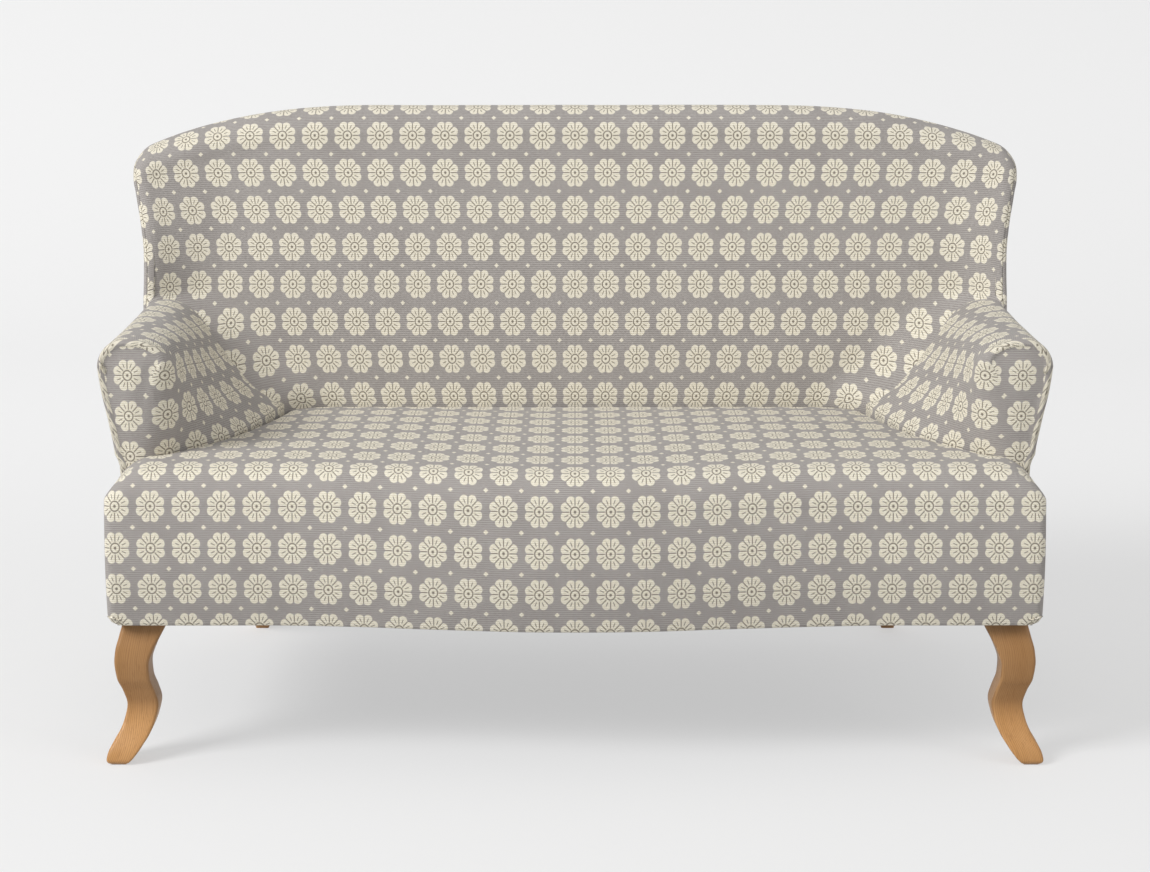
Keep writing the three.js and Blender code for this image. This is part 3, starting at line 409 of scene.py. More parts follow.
def arm_patches():
    seam = edge_share()
    radii = mix(EDGE_INSIDE, EDGE_OUTSIDE, seam)
    rings = []

    def edge_ring(angle, extra=0.0):
        ys = ARM_FRONT_Y + radii * (1 - math.sin(angle)) + extra * seam
        sink = radii * (1 - math.cos(angle)) + extra * seam
        ring = []
        for i, y in enumerate(ys):
            x, z = inset(arm_section(y), sink)[i]
            ring.append((x, y, z))
        return ring

    rings.append(edge_ring(math.pi / 2, FRONT_SEAM))
    for angle in reversed(quarter(EDGE_STEPS, 0, EDGE_END)):
        rings.append(edge_ring(angle))
    edge = np.array(rings)
    edge_count = len(rings)
    for share in ARM_SHARES:
        y = mix(ARM_FRONT_Y, SEAT_DEPTH, share)
        rings.append([(x, max(y, edge[-1][i][1] + share), z)
                      for i, (x, z) in enumerate(arm_section(y))])
    whole = np.array(rings)
    along = np.array([arc(whole[:, i]) for i in range(whole.shape[1])]).T
    up = []
    for ring in whole:
        run = arc(ring)
        up.append(run - np.interp(SEAT_HEIGHT, ring[:ARM_FACE_STEPS, 2], run[:ARM_FACE_STEPS]))
    up = np.array(up)
    first = whole[0, :, 0] - ARM_FRONT_HALF
    lead = np.where(np.arange(len(first)) < ARM_FACE_STEPS, first, first[ARM_FACE_STEPS - 1])
    uv = np.stack([lead[None, :] - along * ARM_PRINT_SHARE, up], 2)

    main, main_uv = whole[:, :ARM_SEAM_ROW + 1], uv[:, :ARM_SEAM_ROW + 1]
    tuck = main[:, -1:] + np.array([-SEAM_DEPTH, 0, NUDGE])
    main = np.concatenate([main, tuck], 1)
    main_uv = np.concatenate([main_uv, main_uv[:, -1:]], 1)

    outer = whole[:edge_count, ARM_SEAM_ROW:]
    outer_uv = uv[:edge_count, ARM_SEAM_ROW:]
    turned = outer[-1:].copy()
    turned[..., 1] = ARM_PANEL_Y
    under = turned + np.array([-SEAM_DEPTH, NUDGE, 0])
    outer = np.concatenate([outer, turned, under], 0)
    outer_uv = np.concatenate([outer_uv, outer_uv[-1:], outer_uv[-1:]], 0)

    return [(main, main_uv), (outer, outer_uv), arm_front(whole[0])]


FRONT_BULGE = 4.0
FRONT_BULGE_REACH = 30
FRONT_SPACING = 9


def arm_front(ring):
    """The arm's front: its outline, filled with a slightly padded face."""
    outline = [(x, z) for x, y, z in ring]
    border = np.array(outline)

    def to_point(x, z):
        away = np.linalg.norm(border - (x, z), axis=1)
        nearest = int(np.argmin(away))
        if away[nearest] < TOUCHING:
            return tuple(ring[nearest])
        return x, ring[nearest][1] - FRONT_BULGE * smooth(away[nearest] / FRONT_BULGE_REACH), z

    return region_patch(outline, [], FRONT_SPACING, to_point,
                        lambda x, z: (x - ARM_FRONT_HALF, z - SEAT_HEIGHT))


# Seat: a section in Y and Z from the foot of its front over the roll to the crease below the back
SEAT_WALL_STEPS = 36
SEAT_ROLL_STEPS = 20
SEAT_TOP_STEPS = 60
SEAT_END_STEPS = 12
SEAT_STATIONS = 101
FRONT_TOP_STEPS = 7
FOOT_TURN = 4
FOOT_STEPS = 3
CREASE_ROUND = 13  # where the seat meets the arms
CREASE_DROP = 30
CREASE_OVERLAP = 1
BACK_CREASE_REACH = 16
BACK_CREASE_DROP = 12
SEAT_TUCK_DROP = 28
TOP_PRINT_SHARE = 0.84  # the print runs wider from front to back over the seat's top


def seat_line():
    shoulder = SEAT_HEIGHT - SEAT_ROLL
    line = []
    for angle in quarter(FOOT_STEPS + 1)[:-1]:
        line.append((FOOT_TURN * (1 - math.sin(angle)), LEG_HEIGHT + FOOT_TURN * (1 - math.cos(angle))))
    for t in np.linspace(0, 1, SEAT_WALL_STEPS):
        y = -FRONT_FULLNESS * math.sin(math.pi * t)
        line.append((y, mix(LEG_HEIGHT + FOOT_TURN, shoulder, t)))
    wall = len(line) - 1
    for angle in quarter(SEAT_ROLL_STEPS)[1:]:
        line.append((SEAT_ROLL * (1 - math.cos(angle)), shoulder + SEAT_ROLL * math.sin(angle)))
    front_top = np.linspace(SEAT_ROLL, ARM_FRONT_Y - NUDGE, FRONT_TOP_STEPS)[1:]
    rear_top = np.linspace(ARM_FRONT_Y + NUDGE, SEAT_DEPTH, SEAT_TOP_STEPS)
    for y in list(front_top) + list(rear_top):
        t = (y - SEAT_ROLL) / (SEAT_DEPTH - SEAT_ROLL)
        line.append((y, SEAT_HEIGHT - SEAT_FALL * t + SEAT_CROWN * math.sin(math.pi * t)))
    return np.array(line), wall


def turned_seat_line(turn):
    """The seat's section at a share of the turn round its end, and how far each point is in the roll."""
    section, wall = seat_line()
    normal = inset(section, 1) - section
    ends = [math.sin(clamp((i - wall) / (SEAT_ROLL_STEPS - 1)) * math.pi / 2)
            for i in range(len(section))]
    line = []
    for (y, z), (across, up), end in zip(section, normal, ends):
        back, down = BLOCK_EDGE * turn, SEAT_END_ROLL * turn
        line.append((y + across * back, z + up * mix(back, down, end)))
    return line, ends


def seat_surface():
    section, wall = seat_line()
    foot = []
    for z in section[:, 1]:
        t = clamp(1 - (z - LEG_HEIGHT) / BLOCK_EDGE)
        foot.append(BLOCK_EDGE * (1 - math.sqrt(1 - t * t)))
    half = BODY_WIDTH / 2 + SEAT_SIDE_GROWTH
    rounding = [("round", a) for a in quarter(SEAT_END_STEPS)[1:]]
    rounding += [("end", math.pi / 2), ("tuck", math.pi / 2)]
    stations = ([(-1, kind, a) for kind, a in reversed(rounding)]
                + [(0, "flat", s) for s in np.linspace(-1, 1, SEAT_STATIONS)]
                + [(1, kind, a) for kind, a in rounding])

    def front_column(side, kind, at):
        line, ends = turned_seat_line(0 if kind == "flat" else 1 - math.cos(at))
        if kind in ("end", "tuck"):
            line = inset(line, END_RETURN)
        column = []
        for i, (y, z) in enumerate(line):
            radius = mix(BLOCK_EDGE, SEAT_END_ROLL, ends[i])
            if kind == "flat":
                x = at * (half - radius - foot[i])
            else:
                x = side * (half - foot[i] - radius * (1 - math.sin(at)))
            if kind == "tuck":
                x = side * min(abs(x), arm_side_x(y, z) + CLEARANCE)
            column.append((x, bowed(x, y), z))
        return column

    def rear_point(i, side, kind, at):
        y, z = section[i]
        edge = 1 - clamp((y - ARM_FRONT_Y) / EDGE_INSIDE)
        inner = arm_inside_x(y) - CREASE_OVERLAP + EDGE_INSIDE * (1 - math.sqrt(1 - edge * edge))
        if kind == "flat":
            x, sink = at * (inner - CREASE_ROUND), 0
        elif kind == "round":
            x = side * (inner - CREASE_ROUND * (1 - math.sin(at)))
            sink = CREASE_ROUND * (1 - math.cos(at))
        else:
            x, sink = side * inner, CREASE_ROUND + CREASE_DROP
        rear = back_face_y(x, SEAT_HEIGHT) - CREASE_OVERLAP
        share = (y - ARM_FRONT_Y) / (SEAT_DEPTH - ARM_FRONT_Y)
        y = bowed(x, y) + (rear - SEAT_DEPTH) * share ** 2
        close = clamp((rear - y) / BACK_CREASE_REACH)
        return x, y, z - sink - BACK_CREASE_DROP * (1 - math.sqrt(1 - (1 - close) ** 2))

    columns = []
    for side, kind, at in stations:
        column = front_column(side, kind, at)
        for i, (y, z) in enumerate(section):
            if y > ARM_FRONT_Y:
                column[i] = rear_point(i, side, kind, at)
        x, y, z = column[-1]
        column.append((x, y + NUDGE, z - SEAT_TUCK_DROP))
        columns.append(column)
    grid = np.array(columns)
    centre = len(stations) // 2
    across = np.array([arc(grid[:, i]) for i in range(grid.shape[1])]).T
    across -= across[centre]
    up = arc(section)
    top = wall + SEAT_ROLL_STEPS // 2
    v = np.zeros(across.shape)
    for j, column in enumerate(grid):
        own = arc(column[:, 1:3])
        v[j, :wall] = up[:wall]
        v[j, wall:] = up[wall] + own[wall:] - own[wall]
        v[j, top:] = v[j, top] + (own[top:] - own[top]) * TOP_PRINT_SHARE
    return grid, np.stack([across, v], 2)


# Outside panels: sheets cut to an outline, and the strip of each that turns round the wing's front edge
PANEL_SPACING = 24
PANEL_GAP = CLOTH + CLEARANCE
PANEL_TUCK = 3  # how far the panel runs on behind the seat's end
PANEL_RISE = 4  # the wing's edge starts this far over the arm's seam
REAR_STATIONS = 61
REAR_STEPS = 31
TOUCHING = 0.01


def inside(point, loop):
    """True if a point lies inside a closed line of points."""
    px, py = point
    odd = False
    for (ax, ay), (bx, by) in zip(loop, loop[1:] + loop[:1]):
        if (ay > py) != (by > py) and px < ax + (py - ay) / (by - ay) * (bx - ax):
            odd = not odd
    return odd


def region_patch(outline, holes, spacing, to_point, to_print):
    """Triangles that fill an outline less its holes, with each point and its print coordinates."""
    points, edges = [], []
    for loop in [outline] + holes:
        start, count = len(points), len(loop)
        points += [Vector(p) for p in loop]
        edges += [(start + i, start + (i + 1) % count) for i in range(count)]
    border = np.array([tuple(p) for p in points])
    low, high = border.min(0), border.max(0)
    for a in np.arange(low[0] + spacing / 2, high[0], spacing):
        for b in np.arange(low[1] + spacing / 2, high[1], spacing):
            near = np.min(np.linalg.norm(border - (a, b), axis=1)) < spacing * 0.5
            if not near and inside((a, b), outline) and not any(inside((a, b), h) for h in holes):
                points.append(Vector((a, b)))
    flat, _, faces = geometry.delaunay_2d_cdt(points, edges, [], 0, 1e-4)[:3]
    kept = []
    for face in faces:
        centre = sum((flat[i] for i in face), Vector((0, 0))) / len(face)
        if inside(centre, outline) and not any(inside(centre, h) for h in holes):
            kept.append(list(face))
    used = sorted({i for face in kept for i in face})
    renumbered = {old: new for new, old in enumerate(used)}
    verts = np.array([to_point(*flat[i]) for i in used])
    coords = np.array([to_print(*flat[i]) for i in used])
    return verts, [[renumbered[i] for i in face] for face in kept], coords


def wing_ring(angle, extra=0.0):
    sink, shift = wing_turn(angle, extra)
    section, spread = back_section(1, shift)
    ring = []
    for (y, z), own in zip(inset(section, sink), shift):
        swell = (arm_side_x(y, z) - side_x(z)) * math.sin(angle) ** 8
        ring.append((spread(z, own) + swell, y, z))
    return ring


def wing_strip():
    """The strip of the outside panel between its seam on the wing's front edge and its flat part."""
    first = int(np.argmax(back_section(1, 0)[0][:, 1] > SIDE_SEAM_Z))
    rings = [wing_ring(math.radians(WING_SEAM_ANGLE + SEAM_ANGLE), SEAM_DEPTH)[first:]]
    rings += [wing_ring(a)[first:] for a in quarter(WING_STEPS, WING_SEAM_ANGLE + 2 * SEAM_ANGLE)]
    grid = np.array(rings)
    run = np.array([arc(grid[:, i]) for i in range(grid.shape[1])]).T
    outward = grid[0, :, 1:] - grid[-1, :, 1:]
    outward /= np.linalg.norm(outward, axis=1)[:, None]
    unrolled = grid[-1, :, 1:] + outward * (run[-1] - run)[..., None]
    return grid, np.stack([-unrolled[..., 0], unrolled[..., 1] - SEAT_HEIGHT], 2)


def side_patches():
    edge = [(y, z) for x, y, z in wing_ring(math.pi / 2)]
    seam_top = top_z(BACK_WIDTH / 2) - OUTSIDE_SEAM_DROP - CLEARANCE
    seam_z = SIDE_SEAM_Z - CLEARANCE
    seat_end = [p for p in inset(turned_seat_line(1)[0], END_RETURN - PANEL_TUCK)[FOOT_STEPS:]
                if p[0] < ARM_FRONT_Y - CREASE_OVERLAP]
    front_y, block_top = seat_end[0][0], seat_end[-1][1]
    roll_end = BACK_FACE_STEPS + BACK_ROLL_STEPS // 2
    rising = [p for i, p in enumerate(edge)
              if p[1] > seam_z + PANEL_RISE and (i < roll_end or p[1] > seam_top)]
    face = np.array(edge[:BACK_FACE_STEPS])
    foot_y = np.interp(seam_z, face[:, 1], face[:, 0])
    top_y = rising[-1][0]
    outline = [tuple(p) for p in seat_end]
    outline += [(ARM_PANEL_Y, block_top), (ARM_PANEL_Y, seam_z), (foot_y, seam_z)]
    outline += rising
    outline += [(top_y, seam_top), (rear_y(seam_top) - PANEL_GAP, seam_top),
                (rear_y(LEG_HEIGHT) - PANEL_GAP, LEG_HEIGHT), (front_y, LEG_HEIGHT)]
    region = region_patch(subdivided(outline, PANEL_SPACING), [], PANEL_SPACING,
                          lambda y, z: (arm_side_x(y, z), y, z), lambda y, z: (-y, z - SEAT_HEIGHT))
    return [region, wing_strip()]


def subdivided(outline, spacing):
    """The outline with points added so that no side is longer than the spacing."""
    points = []
    for a, b in zip(outline, outline[1:] + outline[:1]):
        count = max(int(math.dist(a, b) / spacing), 1)
        points += [(mix(a[0], b[0], i / count), mix(a[1], b[1], i / count)) for i in range(count)]
    return points


def rear_patch():
    rows = []
    for share in np.linspace(-1, 1, REAR_STATIONS):
        top = top_z(share * (side_x(SIDE_TOP) - PANEL_GAP)) - OUTSIDE_SEAM_DROP - CLEARANCE
        row = []
        for t in np.linspace(0, 1, REAR_STEPS):
            z = mix(LEG_HEIGHT, top, t)
            row.append((share * (side_x(min(z, SIDE_TOP)) - PANEL_GAP), rear_y(z), z))
        rows.append(row)
    grid = np.array(rows)
    return grid, np.stack([-grid[:, :, 0], grid[:, :, 2] - SEAT_HEIGHT], 2)


# Legs, as in the part's source but with a smooth line: [height share, offset share, width share]
FRONT_LEG = [[0, 1, 0.34], [0.015, 1, 0.48], [0.05, 0.93, 0.61], [0.12, 0.73, 0.7], [0.2, 0.47, 0.71],
             [0.3, 0.26, 0.705], [0.4, 0.16, 0.705], [0.5, 0.27, 0.71], [0.6, 0.43, 0.74],
             [0.7, 0.47, 0.77], [0.8, 0.37, 0.85], [0.9, 0.17, 0.93], [1, 0, 1]]
BACK_LEG = [[0, 1, 0.4], [0.04, 0.96, 0.48], [0.2, 0.68, 0.58], [0.4, 0.38, 0.7], [0.6, 0.16, 0.82],
            [0.8, 0.04, 0.93], [1, 0, 1]]
FRONT_LEG_WIDTH = 67
BACK_LEG_WIDTH = 56
LEG_ROUNDING = 7
LEG_CORNER_STEPS = 7
LEG_SIDES = 4 * LEG_CORNER_STEPS
LEG_LEVELS = list(np.linspace(0, 0.05, 9)) + list(np.linspace(0.065, 1, 64))
RAIL = 26
FRONT_LEG_INSET = 46.5
BACK_LEG_INSET = 138
FRONT_LEG_X = BODY_WIDTH / 2 - FRONT_LEG_INSET
FRONT_LEG_Y = 56
FRONT_REACH = 42
BACK_LEG_X = BODY_WIDTH / 2 - BACK_LEG_INSET
BACK_LEG_Y = rear_y(LEG_HEIGHT) - PANEL_GAP - RAIL - CLEARANCE - BACK_LEG_WIDTH / 2
BACK_REACH = 128
GRAIN_FOLLOW = 0.6  # how much of the bend the grain follows


def leg(name, table, x, y, width, reach_x, reach_y):
    offsets = [[h, o] for h, o, _ in table]
    sizes = [[h, s] for h, _, s in table]
    rings, straight = [], []
    for h in LEG_LEVELS:
        offset, size = follow(offsets, h), follow(sizes, h)
        rounding = LEG_ROUNDING * size
        inner = width * size / 2 - rounding
        for turn in range(4):
            cx = inner * (1 if turn in (0, 3) else -1)
            cy = inner * (1 if turn < 2 else -1)
            for a in np.linspace(turn * math.pi / 2, (turn + 1) * math.pi / 2, LEG_CORNER_STEPS):
                px = x + reach_x * offset + cx + math.cos(a) * rounding
                py = y + reach_y * offset + cy + math.sin(a) * rounding
                z = h * (LEG_HEIGHT + LINING)
                rings.append((px, py, z))
                follow_x, follow_y = GRAIN_FOLLOW * reach_x * offset, GRAIN_FOLLOW * reach_y * offset
                straight.append((px - follow_x, py - follow_y, z))
    faces = []
    for low in range(0, len(rings) - LEG_SIDES, LEG_SIDES):
        for i in range(LEG_SIDES):
            j = (i + 1) % LEG_SIDES
            faces.append([low + i, low + j, low + LEG_SIDES + j, low + LEG_SIDES + i])
    faces.append(list(reversed(range(LEG_SIDES))))
    faces.append([len(rings) - LEG_SIDES + i for i in range(LEG_SIDES)])
    mesh = bpy.data.meshes.new(name)
    mesh.from_pydata([tuple(p) for p in place(rings)], [], faces)
    grain = mesh.attributes.new("straight", "FLOAT_VECTOR", "POINT")
    for i, p in enumerate(straight):
        grain.data[i].vector = Vector(p) * MM
    mesh.shade_smooth()
    mesh.polygons[-1].use_smooth = False
    mesh.polygons[-2].use_smooth = False
    obj = bpy.data.objects.new(name, mesh)
    bpy.context.scene.collection.objects.link(obj)
    return obj


def place(points):
    """Millimetres from the front rail line to metres in the part's frame."""
    moved = np.array(points, float)
    moved[..., 1] -= SHIFT
    return moved * MM


def as_patch(piece):
    """A grid of points with its print coordinates as points, faces and print coordinates."""
    if len(piece) == 3:
        return piece
    grid, uv = piece
    rows, cols = grid.shape[:2]
    faces = [[r * cols + c, (r + 1) * cols + c, (r + 1) * cols + c + 1, r * cols + c + 1]
             for r in range(rows - 1) for c in range(cols - 1)]
    return grid.reshape(-1, 3), faces, uv.reshape(-1, 2)


def flipped(piece):
    points, faces, uv = as_patch(piece)
    return points * np.array([-1, 1, 1]), faces, uv * np.array([-1, 1])


WELD = 2e-5
RELIEF = 0.7  # how uneven the padding is under the cloth
RELIEF_SCALE = 8.0


def mesh_of(name, patches, outward, thickness, relief=RELIEF):
    """One smooth shell of patches, welded where they meet, with its thickness inside."""
    mesh = bpy.data.meshes.new(name)
    verts, faces, coords = [], [], []
    for points, patch_faces, uv in (as_patch(p) for p in patches):
        start = len(verts)
        verts += [tuple(p) for p in place(points)]
        for face in patch_faces:
            faces.append([start + i for i in face])
            coords += [tuple(uv[i] * MM) for i in face]
    mesh.from_pydata(verts, [], faces)
    layer = mesh.uv_layers.new(name="Print")
    for i, pair in enumerate(coords):
        layer.data[i].uv = pair
    bm = bmesh.new()
    bm.from_mesh(mesh)
    bmesh.ops.remove_doubles(bm, verts=bm.verts, dist=WELD)
    bmesh.ops.dissolve_degenerate(bm, edges=bm.edges, dist=WELD / 2)
    bmesh.ops.recalc_face_normals(bm, faces=bm.faces)
    facing = sum(f.normal.dot(Vector(outward)) * f.calc_area() for f in bm.faces)
    if facing < 0:
        bmesh.ops.reverse_faces(bm, faces=bm.faces)
    bm.normal_update()
    for v in bm.verts:
        v.co += v.normal * noise.noise(v.co * RELIEF_SCALE) * relief * MM
    bm.to_mesh(mesh)
    bm.free()
    mesh.shade_smooth()
    obj = bpy.data.objects.new(name, mesh)
    bpy.context.scene.collection.objects.link(obj)
    shell = obj.modifiers.new("shell", "SOLIDIFY")
    shell.thickness = thickness * MM
    shell.offset = -1
    bpy.context.view_layer.update()
    depsgraph = bpy.context.evaluated_depsgraph_get()
    done = bpy.data.meshes.new_from_object(obj.evaluated_get(depsgraph))
    obj.modifiers.clear()
    obj.data = done
    return obj


# Materials
def node(tree, kind, inputs=None, **settings):
    made = tree.nodes.new(kind)
    for key, value in settings.items():
        setattr(made, key, value)
    for key, value in (inputs or {}).items():
        if hasattr(value, "is_output"):
            tree.links.new(value, made.inputs[key])
        else:
            made.inputs[key].default_value = value
    return made


def maths(tree, operation, a, b=0.0, c=0.0):
    return node(tree, "ShaderNodeMath", {0: a, 1: b, 2: c}, operation=operation).outputs[0]


def blend_colour(tree, share, low, high):
    return node(tree, "ShaderNodeMix", {0: share, 6: low, 7: high}, data_type="RGBA").outputs[2]


def step_up(tree, value, low, high):
    return node(tree, "ShaderNodeMapRange", {0: value, 1: low, 2: high, 3: 0.0, 4: 1.0},
                interpolation_type="SMOOTHSTEP").outputs[0]


def noise_of(tree, coords, scale, detail=2.0, stretch=None):
    if stretch:
        coords = node(tree, "ShaderNodeMapping", {0: coords, 3: stretch}).outputs[0]
    inputs = {"Vector": coords, "Scale": scale, "Detail": detail}
    return node(tree, "ShaderNodeTexNoise", inputs).outputs[0]


def linear(code):
    parts = [int(code[i:i + 2], 16) / 255 for i in (0, 2, 4)]
    return [p / 12.92 if p <= 0.04045 else ((p + 0.055) / 1.055) ** 2.4 for p in parts] + [1.0]


def material(name):
    made = bpy.data.materials.new(name)
    made.use_nodes = True
    return made, made.node_tree, made.node_tree.nodes["Principled BSDF"]


def bump_into(tree, shader, height, strength, distance):
    bump = node(tree, "ShaderNodeBump", {"Height": height, "Strength": strength, "Distance": distance})
    tree.links.new(bump.outputs[0], shader.inputs["Normal"])


# The print, in metres, or in shares of the rosette's radius
PETALS = 8
ROSETTE = 0.0222
ROSETTE_STRETCH = 1.12
PETAL_DIP = 0.26
PETAL_POWER = 0.55
PETAL_EDGE = 0.00035
SLIT = (0.0004, 0.0011, 0.36)  # a line's full and outer half width, and where it starts and ends
VEIN = (0.0003, 0.0009, 0.46, 0.74)
LINE_FADE = 0.06
RING = (0.24, 0.28, 0.32, 0.36)
EYE = (0.07, 0.11)
FILLER = (0.0036, 0.0043)
FRAY, FRAY_SCALE = 0.0013, 900.0

# The weave
RIB, RIB_SHARE = 0.0033, 0.5
TWILL, TWILL_SHARE = 0.0031, 0.4
YARN_SCALES, YARN_SHARE = (240.0, 620.0, 1.0), 2.2
WEAVE_REACH = 1.1
WORN_SCALE, WORN_FROM, WORN_TO, WORN_SHARE = 14.0, 0.35, 0.7, 0.2
CLOTH_ROUGH, PRINT_GLOSS = 0.95, 0.07
PRINT_RELIEF = 1.1
GROUND_DARK, GROUND_LIGHT = "86807C", "BAB5B1"
CREAM_DARK, CREAM_LIGHT = "CFC6AE", "F6F1E4"
# The rosette's lines: print, made darker than the ground as painted shade of the stitching's relief
LINE_AND_SHADE_COLOUR = "857D70"


def rosette(tree, cu, cv, fray):
    """Shares of petal and of dark line: slits between eight petals, a vein down each, a ringed eye. The
    lines are print, drawn darker than the ground as painted shade where the raised stitching dips.
    """
    cv = maths(tree, "DIVIDE", cv, ROSETTE_STRETCH)
    square = maths(tree, "ADD", maths(tree, "MULTIPLY", cu, cu), maths(tree, "MULTIPLY", cv, cv))
    radius = maths(tree, "ADD", maths(tree, "SQRT", square), fray)
    angle = maths(tree, "ADD", maths(tree, "ARCTAN2", cv, cu), math.pi / PETALS)
    wave = maths(tree, "ABSOLUTE", maths(tree, "COSINE", maths(tree, "MULTIPLY", angle, PETALS / 2)))
    wave = maths(tree, "MINIMUM", wave, 1.0)
    swell = maths(tree, "MULTIPLY_ADD", maths(tree, "POWER", wave, PETAL_POWER), PETAL_DIP, 1 - PETAL_DIP)
    rim = maths(tree, "MULTIPLY", swell, ROSETTE)
    petal = step_up(tree, maths(tree, "SUBTRACT", rim, radius), -PETAL_EDGE, PETAL_EDGE)

    def rising(low, high):
        return step_up(tree, radius, ROSETTE * low, ROSETTE * high)

    def falling(low, high):
        return maths(tree, "SUBTRACT", 1.0, rising(low, high))

    def line(turned, thin, thick, start, end=None):
        """A dark line along the radius where turned is 0, between two shares of the rosette's radius."""
        sine = maths(tree, "SINE", maths(tree, "MULTIPLY", turned, 2 / PETALS))
        aside = maths(tree, "MULTIPLY", radius, sine)
        mark = maths(tree, "SUBTRACT", 1.0, step_up(tree, aside, thin, thick))
        mark = maths(tree, "MULTIPLY", mark, rising(start, start + LINE_FADE))
        if end:
            mark = maths(tree, "MULTIPLY", mark, falling(end, end + LINE_FADE))
        return mark

    slit = line(maths(tree, "ARCSINE", wave), *SLIT)
    vein = line(maths(tree, "ARCCOSINE", wave), *VEIN)
    ring = maths(tree, "MULTIPLY", rising(*RING[:2]), falling(*RING[2:]))
    eye = falling(*EYE)
    dark = maths(tree, "MAXIMUM", maths(tree, "MAXIMUM", slit, vein), maths(tree, "MAXIMUM", ring, eye))
    return petal, maths(tree, "MULTIPLY", petal, dark)


def print_cloth(name):
    """Ribbed twill cloth with a straight grid of rosettes, drawn in the print coordinates."""
    made, tree, shader = material(name)
    coords = node(tree, "ShaderNodeUVMap", uv_map="Print").outputs[0]
    split = node(tree, "ShaderNodeSeparateXYZ", {0: coords})
    u, v = split.outputs[0], split.outputs[1]
    fray = maths(tree, "SUBTRACT", noise_of(tree, coords, FRAY_SCALE, 1.0), 0.5)
    fray = maths(tree, "MULTIPLY", fray, FRAY)

    def in_cell(value, pitch, centre):
        """Distance from the middle of a cell of the print, or from its corners where centre is 0."""
        share = maths(tree, "FRACT", maths(tree, "ADD", maths(tree, "DIVIDE", value, pitch * MM), centre))
        return maths(tree, "MULTIPLY", maths(tree, "SUBTRACT", share, 0.5), pitch * MM)

    flower, line = rosette(tree, in_cell(u, PITCH_X, 0.5), in_cell(v, PITCH_Z, 0.5), fray)
    aside = maths(tree, "ABSOLUTE", in_cell(u, PITCH_X, 0.0))
    above = maths(tree, "ABSOLUTE", in_cell(v, PITCH_Z, 0.0))
    diamond = maths(tree, "ADD", maths(tree, "ADD", aside, above), fray)
    filler = maths(tree, "SUBTRACT", 1.0, step_up(tree, diamond, *FILLER))
    mask = maths(tree, "MAXIMUM", flower, filler)

    rib = maths(tree, "SINE", maths(tree, "MULTIPLY", v, 2 * math.pi / RIB))
    twill = maths(tree, "SINE", maths(tree, "MULTIPLY", maths(tree, "ADD", u, v), 2 * math.pi / TWILL))
    yarn = noise_of(tree, coords, 1.0, 2.0, YARN_SCALES)
    weave = maths(tree, "MULTIPLY_ADD", rib, RIB_SHARE, maths(tree, "MULTIPLY", twill, TWILL_SHARE))
    weave = maths(tree, "MULTIPLY_ADD", maths(tree, "SUBTRACT", yarn, 0.5), YARN_SHARE, weave)
    shade = step_up(tree, weave, -WEAVE_REACH, WEAVE_REACH)

    ground = blend_colour(tree, shade, linear(GROUND_DARK), linear(GROUND_LIGHT))
    worn = step_up(tree, noise_of(tree, coords, WORN_SCALE, 3.0), WORN_FROM, WORN_TO)
    worn = maths(tree, "MULTIPLY", worn, WORN_SHARE)
    ground = blend_colour(tree, worn, ground, linear(GROUND_DARK))
    cream = blend_colour(tree, shade, linear(CREAM_DARK), linear(CREAM_LIGHT))
    tone = blend_colour(tree, mask, ground, cream)
    # Painted shade: the rosette's lines are darker than the ground colour where the raised stitching dips
    tone = blend_colour(tree, line, tone, linear(LINE_AND_SHADE_COLOUR))
    tree.links.new(tone, shader.inputs["Base Color"])
    rough = maths(tree, "SUBTRACT", CLOTH_ROUGH, maths(tree, "MULTIPLY", mask, PRINT_GLOSS))
    tree.links.new(rough, shader.inputs["Roughness"])
    shader.inputs["Specular IOR Level"].default_value = 0.2
    shader.inputs["Sheen Weight"].default_value = 0.12
    shader.inputs["Sheen Roughness"].default_value = 0.6
    relief = maths(tree, "SUBTRACT", mask, line)
    bump_into(tree, shader, maths(tree, "MULTIPLY_ADD", relief, PRINT_RELIEF, weave), 0.7, 0.0003)
    return made


# Timber: how much each part of its grain shows, and the heights over which a leg darkens upward as
# painted shade under the seat
DRIFT = 4.5
LATE_SHARE = 0.75
PORE_SHARE = 0.35
PORE_ROUGH = 0.2
PAINTED_SHADE_FROM, PAINTED_SHADE_TO, PAINTED_SHADE_SHARE = 0.055, 0.1, 0.5


